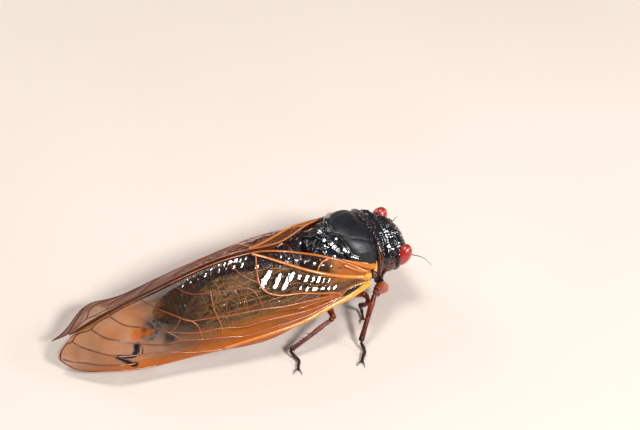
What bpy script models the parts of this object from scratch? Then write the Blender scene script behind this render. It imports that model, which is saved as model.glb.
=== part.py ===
"""A periodical cicada at rest: a still, life-size model that stands on its feet, wings folded.

Lengths are in millimetres until a mesh is made. The animal looks along +X, its left side is +Y,
+Z is up, and it stands on z = 0. When all is built, it is moved so that the origin lies under the
middle of its bounding box.
"""

import math

import bmesh
import bpy
import numpy as np
from mathutils import Vector, geometry

MM = 0.001
GAP = 0.3
BODY_SIDES = 24
LIMB_SIDES = 8
SPINE_SIDES = 5
THINNEST = 0.5

# The trunk, from the head back: where each part begins and ends along X.
HEAD_FRONT = 6.9
HEAD_BACK = 5.0
PRONOTUM_FRONT = HEAD_BACK - GAP
PRONOTUM_BACK = 2.25
MESONOTUM_FRONT = PRONOTUM_BACK - GAP
MESONOTUM_BACK = -5.0
ABDOMEN_FRONT = MESONOTUM_BACK - GAP
ABDOMEN_TIP = -22.8
NOTUM_FLOOR = 6.45

EYE_CENTRE = (5.92, 3.15, 6.85)
EYE_RADII = (0.8, 0.92, 1.35)
FACE_RIBS = 13
FACE_RIB_HEIGHT = 0.09
ABDOMEN_RINGS = 8

# The folded forewing at eleven stations: x, then y and z of its hind margin along the back,
# y and z of its costal edge, which hangs at the flank, and how far it bulges between the two.
FOREWING_STATIONS = (
    (0.9, 5.15, 7.35, 5.45, 6.60, 0.00),
    (-1.5, 3.75, 8.45, 5.60, 5.75, 0.20),
    (-4.0, 2.60, 9.30, 5.90, 4.90, 0.50),
    (-7.0, 1.10, 9.60, 6.33, 4.00, 1.00),
    (-11.5, 0.55, 10.27, 6.60, 2.57, 1.08),
    (-17.5, 0.55, 9.70, 6.10, 2.43, 0.57),
    (-22.5, 0.55, 8.05, 5.56, 2.01, 0.46),
    (-26.5, 0.55, 6.70, 5.23, 2.12, 0.26),
    (-29.5, 0.58, 5.45, 4.54, 2.11, 0.62),
    (-32.0, 0.65, 4.05, 2.85, 1.36, 0.08),
    (-33.6, 0.95, 3.00, 1.87, 1.74, 0.00),
)
FOREWING_ROOT = -0.6
FOREWING_ROUNDING = 31.6
FOREWING_TIP = 33.6
HINDWING_ROOT = 2.6
HINDWING_TIP = 20.5
HINDWING_DEPTH = THINNEST + GAP + 0.1

# Veins as (distance behind the body's middle, share of the way across from hind margin to costa).
FOREWING_VEINS = (
    ((0.6, 0.44), (4.1, 0.37), (6.5, 0.27), (9.2, 0.14), (11.4, 0.03)),
    ((1.2, 0.74), (4.4, 0.73), (8.5, 0.56), (11.2, 0.44), (12.4, 0.33), (12.3, 0.18), (11.7, 0.03)),
    ((5.6, 0.78), (10.0, 0.66), (13.7, 0.61), (17.0, 0.60), (20.2, 0.51), (22.6, 0.26), (24.4, 0.03)),
    ((5.6, 0.91), (8.7, 0.82), (12.9, 0.76), (17.2, 0.72), (22.2, 0.58), (26.1, 0.31), (27.7, 0.04)),
    ((4.6, 0.93), (8.1, 0.92), (14.4, 0.87), (19.1, 0.80), (22.7, 0.73), (26.6, 0.55), (28.7, 0.36),
     (30.1, 0.04)),
    ((16.8, 0.98), (20.4, 0.93), (25.3, 0.79), (28.0, 0.74), (30.7, 0.45), (32.0, 0.10)),
    ((28.0, 0.74), (26.3, 0.90), (30.1, 0.84), (32.3, 0.72), (33.2, 0.50)),
    ((12.4, 0.33), (14.8, 0.04)),
    ((17.0, 0.60), (18.8, 0.26), (20.6, 0.04)),
    ((16.9, 0.60), (16.8, 0.82)),
    ((19.3, 0.54), (19.0, 0.80)),
)
HINDWING_VEINS = (
    ((2.8, 0.52), (10.0, 0.72), (19.0, 0.70)),
    ((2.8, 0.50), (11.0, 0.55), (19.8, 0.55)),
    ((2.8, 0.48), (11.0, 0.38), (18.0, 0.36)),
    ((2.8, 0.46), (8.0, 0.26), (13.0, 0.20)),
)
# Height of the line inside the roof that its inner face looks towards.
ROOF_AXIS_HEIGHT = 1.0
VEIN_HALF_WIDTH = 0.34
VEIN_HEIGHT = 0.22
VEIN_STEP = 1.25
MEMBRANE_STEP = 2.2

# Legs: root of the coxa, trochanter, knee, top of the shin, ankle, heel and claw, on the right side.
LEG_JOINTS = {
    "front": (
        (3.5, -2.4, 2.9), (3.65, -3.9, 2.85), (1.4, -5.6, 5.1), (0.9, -6.1, 4.4),
        (-1.5, -8.85, 0.9), (-1.4, -9.75, 0.4), (-2.3, -11.0, 0.2),
    ),
    "middle": (
        (0.0, -2.2, 2.05), (0.1, -3.3, 2.45), (0.6, -4.95, 3.75), (0.68, -5.62, 3.52),
        (0.3, -4.6, 1.8), (0.75, -4.45, 0.7), (0.55, -5.4, 0.2),
    ),
    "hind": (
        (-3.2, -2.3, 2.05), (-3.4, -3.8, 2.1), (-4.1, -6.5, 3.35), (-5.0, -6.65, 2.95),
        (-9.5, -7.35, 0.9), (-8.9, -8.6, 0.35), (-9.4, -9.6, 0.2),
    ),
}
SHIN_BOW = {"front": 0.0, "middle": 0.3, "hind": 0.1}
SHIN_SPINES = {"front": 0, "middle": 2, "hind": 5}
LEG_RADII = {
    "front": (0.55, 0.60, 0.34, 0.28),
    "middle": (0.48, 0.42, 0.30, 0.26),
    "hind": (0.48, 0.42, 0.30, 0.26),
}
CLAW_DROP = Vector((0.0, 0.0, 0.14))
# How the left legs stand off from a plain mirror image of the right ones: further ahead, and tucked
# in by a share at each of their seven joints.
LEFT_SHIFT = {"front": 0.9, "middle": -0.9, "hind": -1.6}
LEFT_TUCK = {"front": 1.5, "middle": 0.0, "hind": 1.7}
TUCK_SHARES = (0.0, 0.0, 0.04, 0.12, 0.30, 0.36, 0.95)

BLACK = (0.012, 0.012, 0.016, 1.0)
MAROON = (0.16, 0.035, 0.02, 1.0)
ORANGE = (0.72, 0.25, 0.05, 1.0)
RED = (0.62, 0.03, 0.02, 1.0)
AMBER = (0.55, 0.28, 0.10, 0.6)


def clear_scene():
    """Remove whatever the file holds before the model is built."""
    for thing in list(bpy.data.objects):
        bpy.data.objects.remove(thing, do_unlink=True)


def collection(name):
    """Return a new collection that is linked to the scene."""
    group = bpy.data.collections.new(name)
    bpy.context.scene.collection.children.link(group)
    return group


def material(name, colour, roughness):
    """A Principled material in one of the animal's own colours."""
    made = bpy.data.materials.new(name)
    made.use_nodes = True
    made.diffuse_color = colour
    shader = made.node_tree.nodes["Principled BSDF"]
    shader.inputs["Base Color"].default_value = (*colour[:3], 1.0)
    shader.inputs["Roughness"].default_value = roughness
    shader.inputs["Metallic"].default_value = 0.0
    shader.inputs["Alpha"].default_value = colour[3]
    return made


def solid(name, points, faces, colour, roughness=0.25):
    """Make one object of points in millimetres, with its faces turned outwards."""
    mesh = bpy.data.meshes.new(name)
    mesh.from_pydata([tuple(MM * float(c) for c in point) for point in points], [], faces)
    work = bmesh.new()
    work.from_mesh(mesh)
    bmesh.ops.recalc_face_normals(work, faces=work.faces)
    work.to_mesh(mesh)
    work.free()
    mesh.shade_smooth()
    thing = bpy.data.objects.new(name, mesh)
    thing.data.materials.append(material(name, colour, roughness))
    CICADA.objects.link(thing)
    return thing


def joined_rings(rings):
    """Faces between rings of equal length, with a flat cap at each end."""
    count, sides = len(rings), len(rings[0])
    points = [point for ring in rings for point in ring]
    faces = []
    for row in range(count - 1):
        for side in range(sides):
            after = (side + 1) % sides
            faces.append((row * sides + side, row * sides + after,
                          (row + 1) * sides + after, (row + 1) * sides + side))
    faces.append(tuple(reversed(range(sides))))
    faces.append(tuple((count - 1) * sides + side for side in range(sides)))
    return points, faces


def oval_ring(x, half_width, top, waist, bottom, fullness=1.0):
    """A section across the trunk: half ovals above and below the waist, meeting at its width.

    A fullness under 1 squares the ovals' shoulders.
    """
    ring = []
    for side in range(BODY_SIDES):
        turn = 2.0 * math.pi * side / BODY_SIDES
        across, up = math.cos(turn), math.sin(turn)
        across = math.copysign(abs(across) ** fullness, across)
        reach = (top - waist) if up > 0.0 else (waist - bottom)
        ring.append((x, half_width * across, waist + reach * math.copysign(abs(up) ** fullness, up)))
    return ring


def trunk_part(name, stations, colour, fullness=1.0):
    """Loft a part of the trunk through its sections, which are unlike one another."""
    rings = [oval_ring(*station, fullness=fullness) for station in stations]
    return solid(name, *joined_rings(rings), colour)


def ball(name, centre, radii, colour, across=16, down=10):
    """An ellipsoid, from a UV sphere."""
    mesh = bpy.data.meshes.new(name)
    work = bmesh.new()
    bmesh.ops.create_uvsphere(work, u_segments=across, v_segments=down, radius=1.0)
    for point in work.verts:
        point.co = Vector([MM * (c + r * p) for c, r, p in zip(centre, radii, point.co)])
    work.to_mesh(mesh)
    work.free()
    mesh.shade_smooth()
    thing = bpy.data.objects.new(name, mesh)
    thing.data.materials.append(material(name, colour, 0.2))
    CICADA.objects.link(thing)
    return thing


def tube(name, path, radii, colour):
    """A limb along a path, with a radius at each point and blunt, rounded ends."""
    path = [Vector(point) for point in path]
    first = (path[1] - path[0]).normalized()
    last = (path[-1] - path[-2]).normalized()
    path = [path[0] - first * radii[0] * 0.6] + path + [path[-1] + last * radii[-1] * 0.6]
    radii = [radii[0] * 0.55, *radii, radii[-1] * 0.55]
    rings = []
    across = None
    for index, point in enumerate(path):
        ahead = path[min(index + 1, len(path) - 1)] - path[max(index - 1, 0)]
        ahead.normalize()
        if across is None:
            across = ahead.orthogonal().normalized()
        across = (across - ahead * across.dot(ahead)).normalized()
        up = ahead.cross(across)
        rings.append([point + radii[index] * (across * math.cos(turn) + up * math.sin(turn))
                      for turn in (2.0 * math.pi * side / LIMB_SIDES for side in range(LIMB_SIDES))])
    return solid(name, *joined_rings(rings), colour)


def replace_mesh(thing, operation, others):
    """Apply one Boolean with a collection of closed meshes, then remove those meshes."""
    group = collection("pieces")
    for other in others:
        CICADA.objects.unlink(other)
        group.objects.link(other)
    modifier = thing.modifiers.new("Join", "BOOLEAN")
    modifier.operation = operation
    modifier.operand_type = "COLLECTION"
    modifier.collection = group
    modifier.solver = "EXACT"
    mesh = bpy.data.meshes.new_from_object(thing.evaluated_get(bpy.context.evaluated_depsgraph_get()))
    thing.modifiers.clear()
    thing.data = mesh
    for other in others:
        bpy.data.objects.remove(other, do_unlink=True)
    bpy.data.collections.remove(group)
    keep_largest(thing)
    return thing


def keep_largest(thing):
    """Keep only the largest closed surface of a node."""
    work = bmesh.new()
    work.from_mesh(thing.data)
    bmesh.ops.remove_doubles(work, verts=work.verts, dist=0.002 * MM)
    left = set(work.verts)
    islands = []
    while left:
        island, edge = set(), [left.pop()]
        while edge:
            point = edge.pop()
            island.add(point)
            for link in point.link_edges:
                other = link.other_vert(point)
                if other in left:
                    left.discard(other)
                    edge.append(other)
        islands.append(island)
    islands.sort(key=len)
    for island in islands[:-1]:
        bmesh.ops.delete(work, geom=list(island), context="VERTS")
    work.to_mesh(thing.data)
    work.free()
    thing.data.shade_smooth()


def cut_flat(thing, point, away):
    """Cut off what lies beyond a plane, given by a point on it and the direction to cut away."""
    work = bmesh.new()
    work.from_mesh(thing.data)
    everything = list(work.verts) + list(work.edges) + list(work.faces)
    cut = bmesh.ops.bisect_plane(work, geom=everything, plane_co=[MM * c for c in point],
                                 plane_no=away, clear_outer=True, dist=0.0005 * MM)
    rim = [item for item in cut["geom_cut"] if isinstance(item, bmesh.types.BMEdge)]
    bmesh.ops.contextual_create(work, geom=rim)
    bmesh.ops.recalc_face_normals(work, faces=work.faces)
    work.to_mesh(thing.data)
    work.free()


def spline(knots, values):
    """A natural cubic spline through values at rising knots, as a function of an array."""
    knots, values = np.asarray(knots, float), np.asarray(values, float)
    steps = np.diff(knots)
    count = len(knots)
    system, right = np.eye(count), np.zeros(count)
    for row in range(1, count - 1):
        system[row, row - 1:row + 2] = (steps[row - 1], 2.0 * (steps[row - 1] + steps[row]), steps[row])
        right[row] = 6.0 * ((values[row + 1] - values[row]) / steps[row]
                            - (values[row] - values[row - 1]) / steps[row - 1])
    bend = np.linalg.solve(system, right)

    def at(place):
        place = np.asarray(place, float)
        span = np.clip(np.searchsorted(knots, place) - 1, 0, count - 2)
        before, after, step = place - knots[span], knots[span + 1] - place, steps[span]
        return ((bend[span] * after ** 3 + bend[span + 1] * before ** 3) / (6.0 * step)
                + (values[span] / step - bend[span] * step / 6.0) * after
                + (values[span + 1] / step - bend[span + 1] * step / 6.0) * before)

    return at


STATIONS = np.array(FOREWING_STATIONS)
MARGINS = [spline(-STATIONS[:, 0], STATIONS[:, column]) for column in range(1, 6)]


def vault(along, across):
    """The roof of the folded right wing.

    along is the distance behind the body's middle. across runs from 0 at the hind margin to 1 at
    the costal edge, on the straight line between the two, pushed out by a parabola that is highest
    half way.
    """
    along, across = np.broadcast_arrays(np.asarray(along, float), np.asarray(across, float))
    hind_y, hind_z, costal_y, costal_z, bulge = [margin(along) for margin in MARGINS]
    out, down = costal_y - hind_y, costal_z - hind_z
    push = bulge * 4.0 * across * (1.0 - across) / np.hypot(out, down)
    return np.stack([-along, -(hind_y + out * across - down * push),
                     hind_z + down * across + out * push], axis=-1)


def vault_below(along, across, depth):
    """The point a given depth inside the roof, along its own normal."""
    step = 0.01
    span = vault(along + step, across) - vault(along - step, across)
    rise = vault(along, across + step) - vault(along, across - step)
    normal = np.cross(span, rise)
    normal /= np.linalg.norm(normal, axis=-1, keepdims=True)
    surface = vault(along, across)
    from_axis = surface - np.stack([surface[..., 0], 0.0 * along, 0.0 * along + ROOF_AXIS_HEIGHT], axis=-1)
    outward = np.sign((normal * from_axis).sum(axis=-1, keepdims=True))
    return surface - normal * outward * np.asarray(depth)[..., None]


def arc_across(along, count=24):
    """The roof's length across, from hind margin to costal edge, at each place along it."""
    along = np.atleast_1d(np.asarray(along, float))
    line = vault(along[:, None], np.linspace(0.0, 1.0, count)[None, :])
    return np.linalg.norm(np.diff(line, axis=1), axis=2).sum(axis=1)


def evenly(line, step):
    """Points at even steps along a line in the flattened wing, rounded with a spline."""
    line = np.asarray(line, float)
    flat = np.stack([line[:, 0], line[:, 1] * arc_across(line[:, 0])], axis=1)
    reach = np.concatenate([[0.0], np.cumsum(np.linalg.norm(np.diff(flat, axis=0), axis=1))])
    count = max(int(round(reach[-1] / step)), 1) + 1
    places = np.linspace(0.0, reach[-1], count)
    if len(line) < 3:
        return np.stack([np.interp(places, reach, flat[:, axis]) for axis in (0, 1)], axis=1)
    return np.stack([spline(reach, flat[:, axis])(places) for axis in (0, 1)], axis=1)


def away_from(points, lines, distance):
    """Which of the points lie at least a distance away from every point of the lines."""
    gaps = np.linalg.norm(points[:, None, :] - lines[None, :, :], axis=2).min(axis=1)
    return gaps >= distance


def inside(points, outline):
    """Which of the points lie inside a closed outline, by how often a ray from each crosses it."""
    x, y = points[:, :1], points[:, 1:]
    first, second = outline, np.roll(outline, -1, axis=0)
    spans = (first[:, 1] > y) != (second[:, 1] > y)
    rise = np.where(second[:, 1] == first[:, 1], 1e-9, second[:, 1] - first[:, 1])
    crossing = first[:, 0] + (y - first[:, 1]) * (second[:, 0] - first[:, 0]) / rise
    return (spans & (x < crossing)).sum(axis=1) % 2 == 1


def wing_outline(forward, low, high):
    """The closed outline of a wing in the flattened roof: hind margin out, costal edge back."""
    hind = evenly(np.stack([forward, low], axis=1), VEIN_STEP)
    costal = evenly(np.stack([forward, high], axis=1)[::-1], VEIN_STEP)
    return np.concatenate([hind, costal[1:-1] if np.allclose(hind[0], costal[-1]) else costal[1:]])


def wing_layout(outline, veins):
    """Triangles of a flattened wing, with a vertex row on every vein and one on each of its flanks."""
    middles, flanks, edges = [outline], [], [(i, (i + 1) % len(outline)) for i in range(len(outline))]
    total = len(outline)
    for vein in veins:
        line = evenly(vein, VEIN_STEP)
        near = [i for i in range(len(line)) if away_from(line[i:i + 1], outline, 0.25)[0]]
        line = line[near]
        ahead = np.gradient(line, axis=0)
        ahead /= np.linalg.norm(ahead, axis=1, keepdims=True)
        sideways = np.stack([-ahead[:, 1], ahead[:, 0]], axis=1) * VEIN_HALF_WIDTH
        edges += [(total + i, total + i + 1) for i in range(len(line) - 1)]
        total += len(line)
        middles.append(line)
        flanks += [line + sideways, line - sideways]
    ahead = np.roll(outline, -1, axis=0) - np.roll(outline, 1, axis=0)
    ahead /= np.linalg.norm(ahead, axis=1, keepdims=True) + 1e-9
    flanks.append(outline + np.stack([-ahead[:, 1], ahead[:, 0]], axis=1) * VEIN_HALF_WIDTH)
    crests = np.concatenate(middles)
    fine = np.concatenate([evenly_between(line, 0.3) for line in middles])
    sides = np.concatenate(flanks)
    sides = sides[away_from(sides, fine, VEIN_HALF_WIDTH * 0.8) & inside(sides, outline)]
    reach = outline.max(axis=0)
    grid = np.array([(x + 0.5 * MEMBRANE_STEP * (row % 2), y)
                     for row, y in enumerate(np.arange(0.0, reach[1], MEMBRANE_STEP * 0.87))
                     for x in np.arange(outline[:, 0].min(), reach[0], MEMBRANE_STEP)])
    grid = grid[away_from(grid, fine, MEMBRANE_STEP * 0.45) & inside(grid, outline)]
    places = [Vector(place) for place in np.concatenate([crests, sides, grid])]
    found = geometry.delaunay_2d_cdt(places, edges, [list(range(len(outline)))], 1, 0.02, True)
    flat = np.array([tuple(place) for place in found[0]])
    raised = np.array([any(source < len(crests) for source in sources) for sources in found[3]])
    raised |= ~away_from(flat, fine, 0.08)
    faces = [tuple(face) for face, sources in zip(found[2], found[5]) if sources]
    return flat, faces, raised


def evenly_between(line, step):
    """A line's points with straight runs between them filled in at a small step."""
    filled = []
    for first, second in zip(line[:-1], line[1:]):
        count = max(int(np.linalg.norm(second - first) / step), 1)
        filled.append(first + (second - first) * (np.arange(count) / count)[:, None])
    filled.append(line[-1:])
    return np.concatenate(filled)


def wing_plate(name, outline, veins, depth, side):
    """A wing as one plate, split into triangles alike on both faces, its veins raised as ridges."""
    flat, faces, raised = wing_layout(outline, veins)
    along = flat[:, 0]
    across = flat[:, 1] / arc_across(along)
    outer = vault_below(along, across, depth - VEIN_HEIGHT * raised)
    inner = vault_below(along, across, np.full(len(along), depth + THINNEST))
    points = np.concatenate([outer, inner])
    if side > 0:
        points[:, 1] *= -1.0
    count = len(flat)
    walls = {}
    for face in faces:
        for start, end in zip(face, face[1:] + face[:1]):
            if (end, start) in walls:
                del walls[(end, start)]
            else:
                walls[(start, end)] = True
    under = [tuple(count + corner for corner in reversed(face)) for face in faces]
    rim = [(end, start, count + start, count + end) for start, end in walls]
    return solid(name, points, faces + under + rim, AMBER, 0.15)


def build_wings():
    """Both pairs of wings, folded like a roof: the hindwings lie under the forewings."""
    straight = np.linspace(FOREWING_ROOT, FOREWING_ROUNDING, 24)
    turn = np.linspace(0.0, math.pi / 2.0, 8)[1:]
    tip = FOREWING_ROUNDING + (FOREWING_TIP - FOREWING_ROUNDING) * np.sin(turn)
    forward = np.concatenate([straight, tip])
    closing = np.concatenate([np.zeros(len(straight)), 0.5 - 0.5 * np.cos(turn)])
    fore = wing_outline(forward, closing, 1.0 - closing)
    turn = np.linspace(0.0, math.pi / 2.0, 9)
    span = HINDWING_TIP - HINDWING_ROOT
    opening = HINDWING_ROOT + 0.3 * span * np.sin(turn)
    rounding = HINDWING_ROOT + span * (0.7 + 0.3 * np.sin(turn))
    forward = np.concatenate([opening, rounding])
    low = np.concatenate([0.46 - 0.30 * np.sin(turn), 0.16 + 0.36 * (1.0 - np.cos(turn))])
    high = np.concatenate([0.56 + 0.26 * np.sin(turn), 0.82 - 0.30 * (1.0 - np.cos(turn))])
    under = wing_outline(forward, low, high)
    for side, word in ((-1, "right"), (1, "left")):
        wing_plate("forewing_" + word, fore, FOREWING_VEINS, 0.0, side)
        wing_plate("hindwing_" + word, under, HINDWING_VEINS, HINDWING_DEPTH + VEIN_HEIGHT, side)


def spike(root, tip, radius, colour=MAROON):
    """A short tapered spine: a cone whose base is sunk in what it grows from."""
    root, tip = Vector(root), Vector(tip)
    ahead = (tip - root).normalized()
    across = ahead.orthogonal().normalized()
    up = ahead.cross(across)
    ring = [root + radius * (across * math.cos(turn) + up * math.sin(turn))
            for turn in (2.0 * math.pi * side / SPINE_SIDES for side in range(SPINE_SIDES))]
    faces = [(side, (side + 1) % SPINE_SIDES, SPINE_SIDES) for side in range(SPINE_SIDES)]
    faces.append(tuple(reversed(range(SPINE_SIDES))))
    return solid("spike", ring + [tip], faces, colour)


def ribbed_face(centre, radii):
    """The bulging face below the head's front edge, with ribs across it either side of the middle."""
    face = ball("face", centre, radii, BLACK, 20, 24)
    for point in face.data.vertices:
        out = Vector([(p / MM - c) / r for p, c, r in zip(point.co, centre, radii)])
        fall = math.atan2(-out.z, out.x)
        beside = min(abs(out.y) * 3.0, 1.0) * max(out.x, 0.0)
        rib = FACE_RIB_HEIGHT * beside * math.cos(FACE_RIBS * fall)
        point.co += MM * rib * out.normalized()
    return face


def build_head():
    """The head with the ribbed face below it, cut back round the eyes, and both eyes."""
    head = trunk_part("head", (
        (HEAD_BACK, 3.3, 8.35, 6.6, 4.2),
        (5.6, 3.4, 8.45, 6.7, 4.0),
        (6.1, 3.2, 8.15, 6.7, 4.3),
        (6.5, 2.7, 7.7, 6.6, 4.8),
        (6.8, 1.9, 7.2, 6.4, 5.3),
        (HEAD_FRONT, 1.1, 6.9, 6.3, 5.7),
    ), BLACK)
    face = ribbed_face((5.95, 0.0, 5.55), (1.25, 1.75, 1.85))
    cut_flat(face, (HEAD_BACK + 0.1, 0.0, 0.0), (-1.0, 0.0, 0.0))
    lip = ball("lip", (5.75, 0.0, 3.7), (0.6, 0.8, 0.8), BLACK, 12, 8)
    ocelli = [ball("ocellus", place, (0.2, 0.2, 0.16), RED, 8, 6)
              for place in ((6.05, 0.0, 8.2), (5.6, 0.42, 8.42), (5.6, -0.42, 8.42))]
    brows = [ball("brow", (6.5, side * 2.2, 6.85), (0.55, 0.6, 0.34), BLACK, 12, 8) for side in (-1, 1)]
    replace_mesh(head, "UNION", [face, lip] + ocelli + brows)
    sockets = []
    for side, word in ((-1, "right"), (1, "left")):
        centre = (EYE_CENTRE[0], side * EYE_CENTRE[1], EYE_CENTRE[2])
        ball("eye_" + word, centre, EYE_RADII, RED)
        sockets.append(ball("socket", centre, [radius + GAP for radius in EYE_RADII], BLACK))
    replace_mesh(head, "DIFFERENCE", sockets)
    tube("rostrum", ((5.5, 0.0, 2.3), (4.2, 0.0, 2.2), (2.5, 0.0, 2.0), (0.4, 0.0, 1.75)),
         (0.36, 0.36, 0.30, 0.22), MAROON)
    for side, word, tip in ((-1, "right", (8.85, 4.7, 5.6)), (1, "left", (8.85, 3.9, 5.3))):
        root = Vector((7.15, side * 2.3, 5.75))
        end = Vector((tip[0], side * tip[1], tip[2]))
        bend = (root + end) / 2.0 + Vector((0.1, 0.0, 0.25))
        tube("antenna_" + word, (root, root.lerp(bend, 0.35), bend, end), (0.30, 0.26, 0.22, 0.08), BLACK)


def build_thorax():
    """Pronotum with its side lobes, the mesonotum with the cross behind it, and the underside."""
    collar = trunk_part("pronotum", (
        (PRONOTUM_BACK, 4.15, 9.95, 6.8, 3.5),
        (2.6, 4.3, 10.0, 6.8, 3.4),
        (2.9, 4.1, 9.75, 6.8, 3.3),
        (3.6, 4.0, 9.4, 6.7, 3.3),
        (4.2, 3.85, 8.95, 6.6, 3.5),
        (PRONOTUM_FRONT, 3.55, 8.5, 6.6, 3.8),
    ), MAROON, 0.9)
    lobes = [ball("lobe", (3.7, side * 3.75, 6.35), (0.8, 0.5, 0.85), MAROON, 12, 8) for side in (-1, 1)]
    replace_mesh(collar, "UNION", lobes)
    notum = trunk_part("mesonotum", (
        (MESONOTUM_FRONT, 3.85, 9.75, 6.8, NOTUM_FLOOR),
        (1.2, 4.05, 10.35, 6.8, NOTUM_FLOOR),
        (0.0, 3.95, 10.7, 6.8, NOTUM_FLOOR),
        (-0.8, 3.65, 10.75, 6.8, NOTUM_FLOOR),
        (-1.6, 3.25, 10.6, 6.8, NOTUM_FLOOR),
        (-2.6, 2.85, 10.15, 6.8, NOTUM_FLOOR),
        (-3.4, 2.5, 9.6, 6.7, NOTUM_FLOOR),
        (-4.3, 2.0, 9.3, 6.6, NOTUM_FLOOR),
        (MESONOTUM_BACK, 1.45, 9.0, 6.6, NOTUM_FLOOR),
    ), BLACK, 0.8)
    hinges = [ball("hinge", (1.0, side * 3.75, 6.95), (0.75, 0.65, 0.4), ORANGE) for side in (-1, 1)]
    arms = [tube("arm", ((-3.95, side * 0.03, 9.42), (end_x, side * end_y, end_z)), (0.30, 0.18), BLACK)
            for side in (-1, 1) for end_x, end_y, end_z in ((-2.75, 1.6, 9.53), (-4.72, 1.1, 8.97))]
    replace_mesh(notum, "UNION", hinges + arms)
    under_top = NOTUM_FLOOR - GAP
    trunk_part("thorax_underside", (
        (MESONOTUM_FRONT, 3.3, under_top, 5.2, 3.0),
        (1.0, 3.7, under_top, 5.2, 2.7),
        (-1.0, 3.9, under_top, 5.2, 2.6),
        (-3.0, 3.9, under_top, 5.2, 2.6),
        (MESONOTUM_BACK, 3.6, under_top, 5.0, 2.7),
    ), BLACK, 0.7)
    for side, word in ((-1, "right"), (1, "left")):
        ball("operculum_" + word, (-5.75, side * 1.8, 1.55), (1.2, 1.1, 0.27), BLACK, 12, 8)


def build_abdomen():
    """The abdomen: rings that step in a little at each seam and close towards the tip."""
    rings = []
    length = ABDOMEN_FRONT - ABDOMEN_TIP
    for index in range(ABDOMEN_RINGS):
        for part, swell in ((0.02, 0.95), (0.45, 0.99), (0.96, 1.0)):
            share = (index + part) / ABDOMEN_RINGS
            x = ABDOMEN_FRONT - length * share
            taper = math.sqrt(max(1.0 - share ** 2.8, 0.03)) * swell
            middle = 4.5 - 0.7 * share
            rings.append(oval_ring(x, 3.45 * taper, middle + 2.85 * taper, middle, middle - 2.6 * taper))
    solid("abdomen", *joined_rings(rings), BLACK)


def limb_spines(start, end, radius, count, side):
    """Pairs of short spines in the lower half of a shin, leaning towards its ankle."""
    along = (end - start).normalized()
    outward = Vector((0.0, side, 0.0))
    across = (outward - along * outward.dot(along)).normalized()
    other = along.cross(across)
    made = []
    for index in range(count):
        root = start.lerp(end, 0.35 + 0.55 * (index + 0.5) / count)
        lean = across if index % 2 else other
        made.append(spike(root + lean * radius * 0.5, root + lean * (radius + 0.55) + along * 0.45, 0.17))
    return made


def build_legs():
    """Six legs, each in three nodes: thigh with its coxa, shin, and foot with its claws."""
    for pair, joints in LEG_JOINTS.items():
        coxa_radius, thigh_radius, shin_radius, foot_radius = LEG_RADII[pair]
        for side, word in ((1, "right"), (-1, "left")):
            places = []
            for index, (joint, tuck) in enumerate(zip(joints, TUCK_SHARES)):
                place = Vector((joint[0], joint[1] * side, joint[2]))
                if side < 0:
                    place += Vector((LEFT_SHIFT[pair] * index / 6.0, -LEFT_TUCK[pair] * tuck, 0.0))
                places.append(place)
            coxa, trochanter, knee, shin_top, ankle, heel, claw = places
            thigh_end = knee - (knee - trochanter).normalized() * 0.15
            shin_middle = shin_top.lerp(ankle, 0.5) - Vector((0.0, SHIN_BOW[pair] * side, 0.0))
            foot_start = ankle + (heel - ankle).normalized() * (shin_radius + GAP + 0.1)
            base = tube(pair + "_thigh_" + word, (coxa, trochanter),
                        (coxa_radius, coxa_radius * 0.85), MAROON)
            pieces = [tube("thigh", (trochanter, trochanter.lerp(knee, 0.45), thigh_end),
                           (thigh_radius * 0.75, thigh_radius, thigh_radius * 0.7), MAROON)]
            if pair == "front":
                pieces += thigh_teeth(trochanter, knee, thigh_radius)
            replace_mesh(base, "UNION", pieces)
            shin = tube(pair + "_shin_" + word, (shin_top, shin_middle, ankle),
                        (shin_radius, shin_radius * 0.8, shin_radius * 0.95), MAROON)
            if SHIN_SPINES[pair]:
                replace_mesh(shin, "UNION", limb_spines(shin_middle, ankle, shin_radius * 0.8,
                                                        SHIN_SPINES[pair], -side))
            toe = claw + (claw - heel).normalized() * 0.1
            foot = tube(pair + "_foot_" + word, (foot_start, heel, claw),
                        (foot_radius, foot_radius * 0.95, foot_radius * 0.85), BLACK)
            spread = (claw - heel).normalized().cross(Vector((0.0, 0.0, 1.0)))
            ahead = Vector((toe.x - heel.x, toe.y - heel.y, 0.0)).normalized()
            claws = [spike(toe + way * spread * 0.08, toe + way * spread * 0.42 + ahead * 0.55 - CLAW_DROP,
                           0.12, BLACK)
                     for way in (-1.0, 1.0)]
            replace_mesh(foot, "UNION", claws)
            cut_flat(foot, (0.0, 0.0, 0.0), (0.0, 0.0, -1.0))


def thigh_teeth(trochanter, knee, radius):
    """Two stout teeth below the front thigh, which lean towards the knee."""
    along = (knee - trochanter).normalized()
    down = Vector((0.0, 0.0, -1.0))
    below = (down - along * down.dot(along)).normalized()
    made = []
    for share, reach in ((0.30, 0.55), (0.68, 0.7)):
        root = trochanter.lerp(knee, share)
        tip = root + below * (radius + reach) + along * 0.35
        made.append(spike(root + below * radius * 0.4, tip, 0.28))
    return made


def centre_on_floor():
    """Move every mesh so that the origin lies under the middle of the whole box."""
    points = [point.co for thing in CICADA.objects for point in thing.data.vertices]
    middle = [(min(p[axis] for p in points) + max(p[axis] for p in points)) / 2.0 for axis in (0, 1)]
    for thing in CICADA.objects:
        for point in thing.data.vertices:
            point.co.x -= middle[0]
            point.co.y -= middle[1]


clear_scene()
CICADA = collection("cicada")
build_thorax()
build_abdomen()
build_head()
build_wings()
build_legs()
centre_on_floor()
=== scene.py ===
"""The looks of a life-size periodical cicada at rest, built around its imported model.

Points are worked out in millimetres in the animal's own axes: X to the head, Y to its left, Z up
from the floor, with the origin under the body between the wing hinges. to_frame() turns them into
the frame's metres.
"""

import math

import bpy
import numpy as np
from bpy.props import FloatProperty, FloatVectorProperty, PointerProperty
from mathutils import Matrix, Vector


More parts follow.
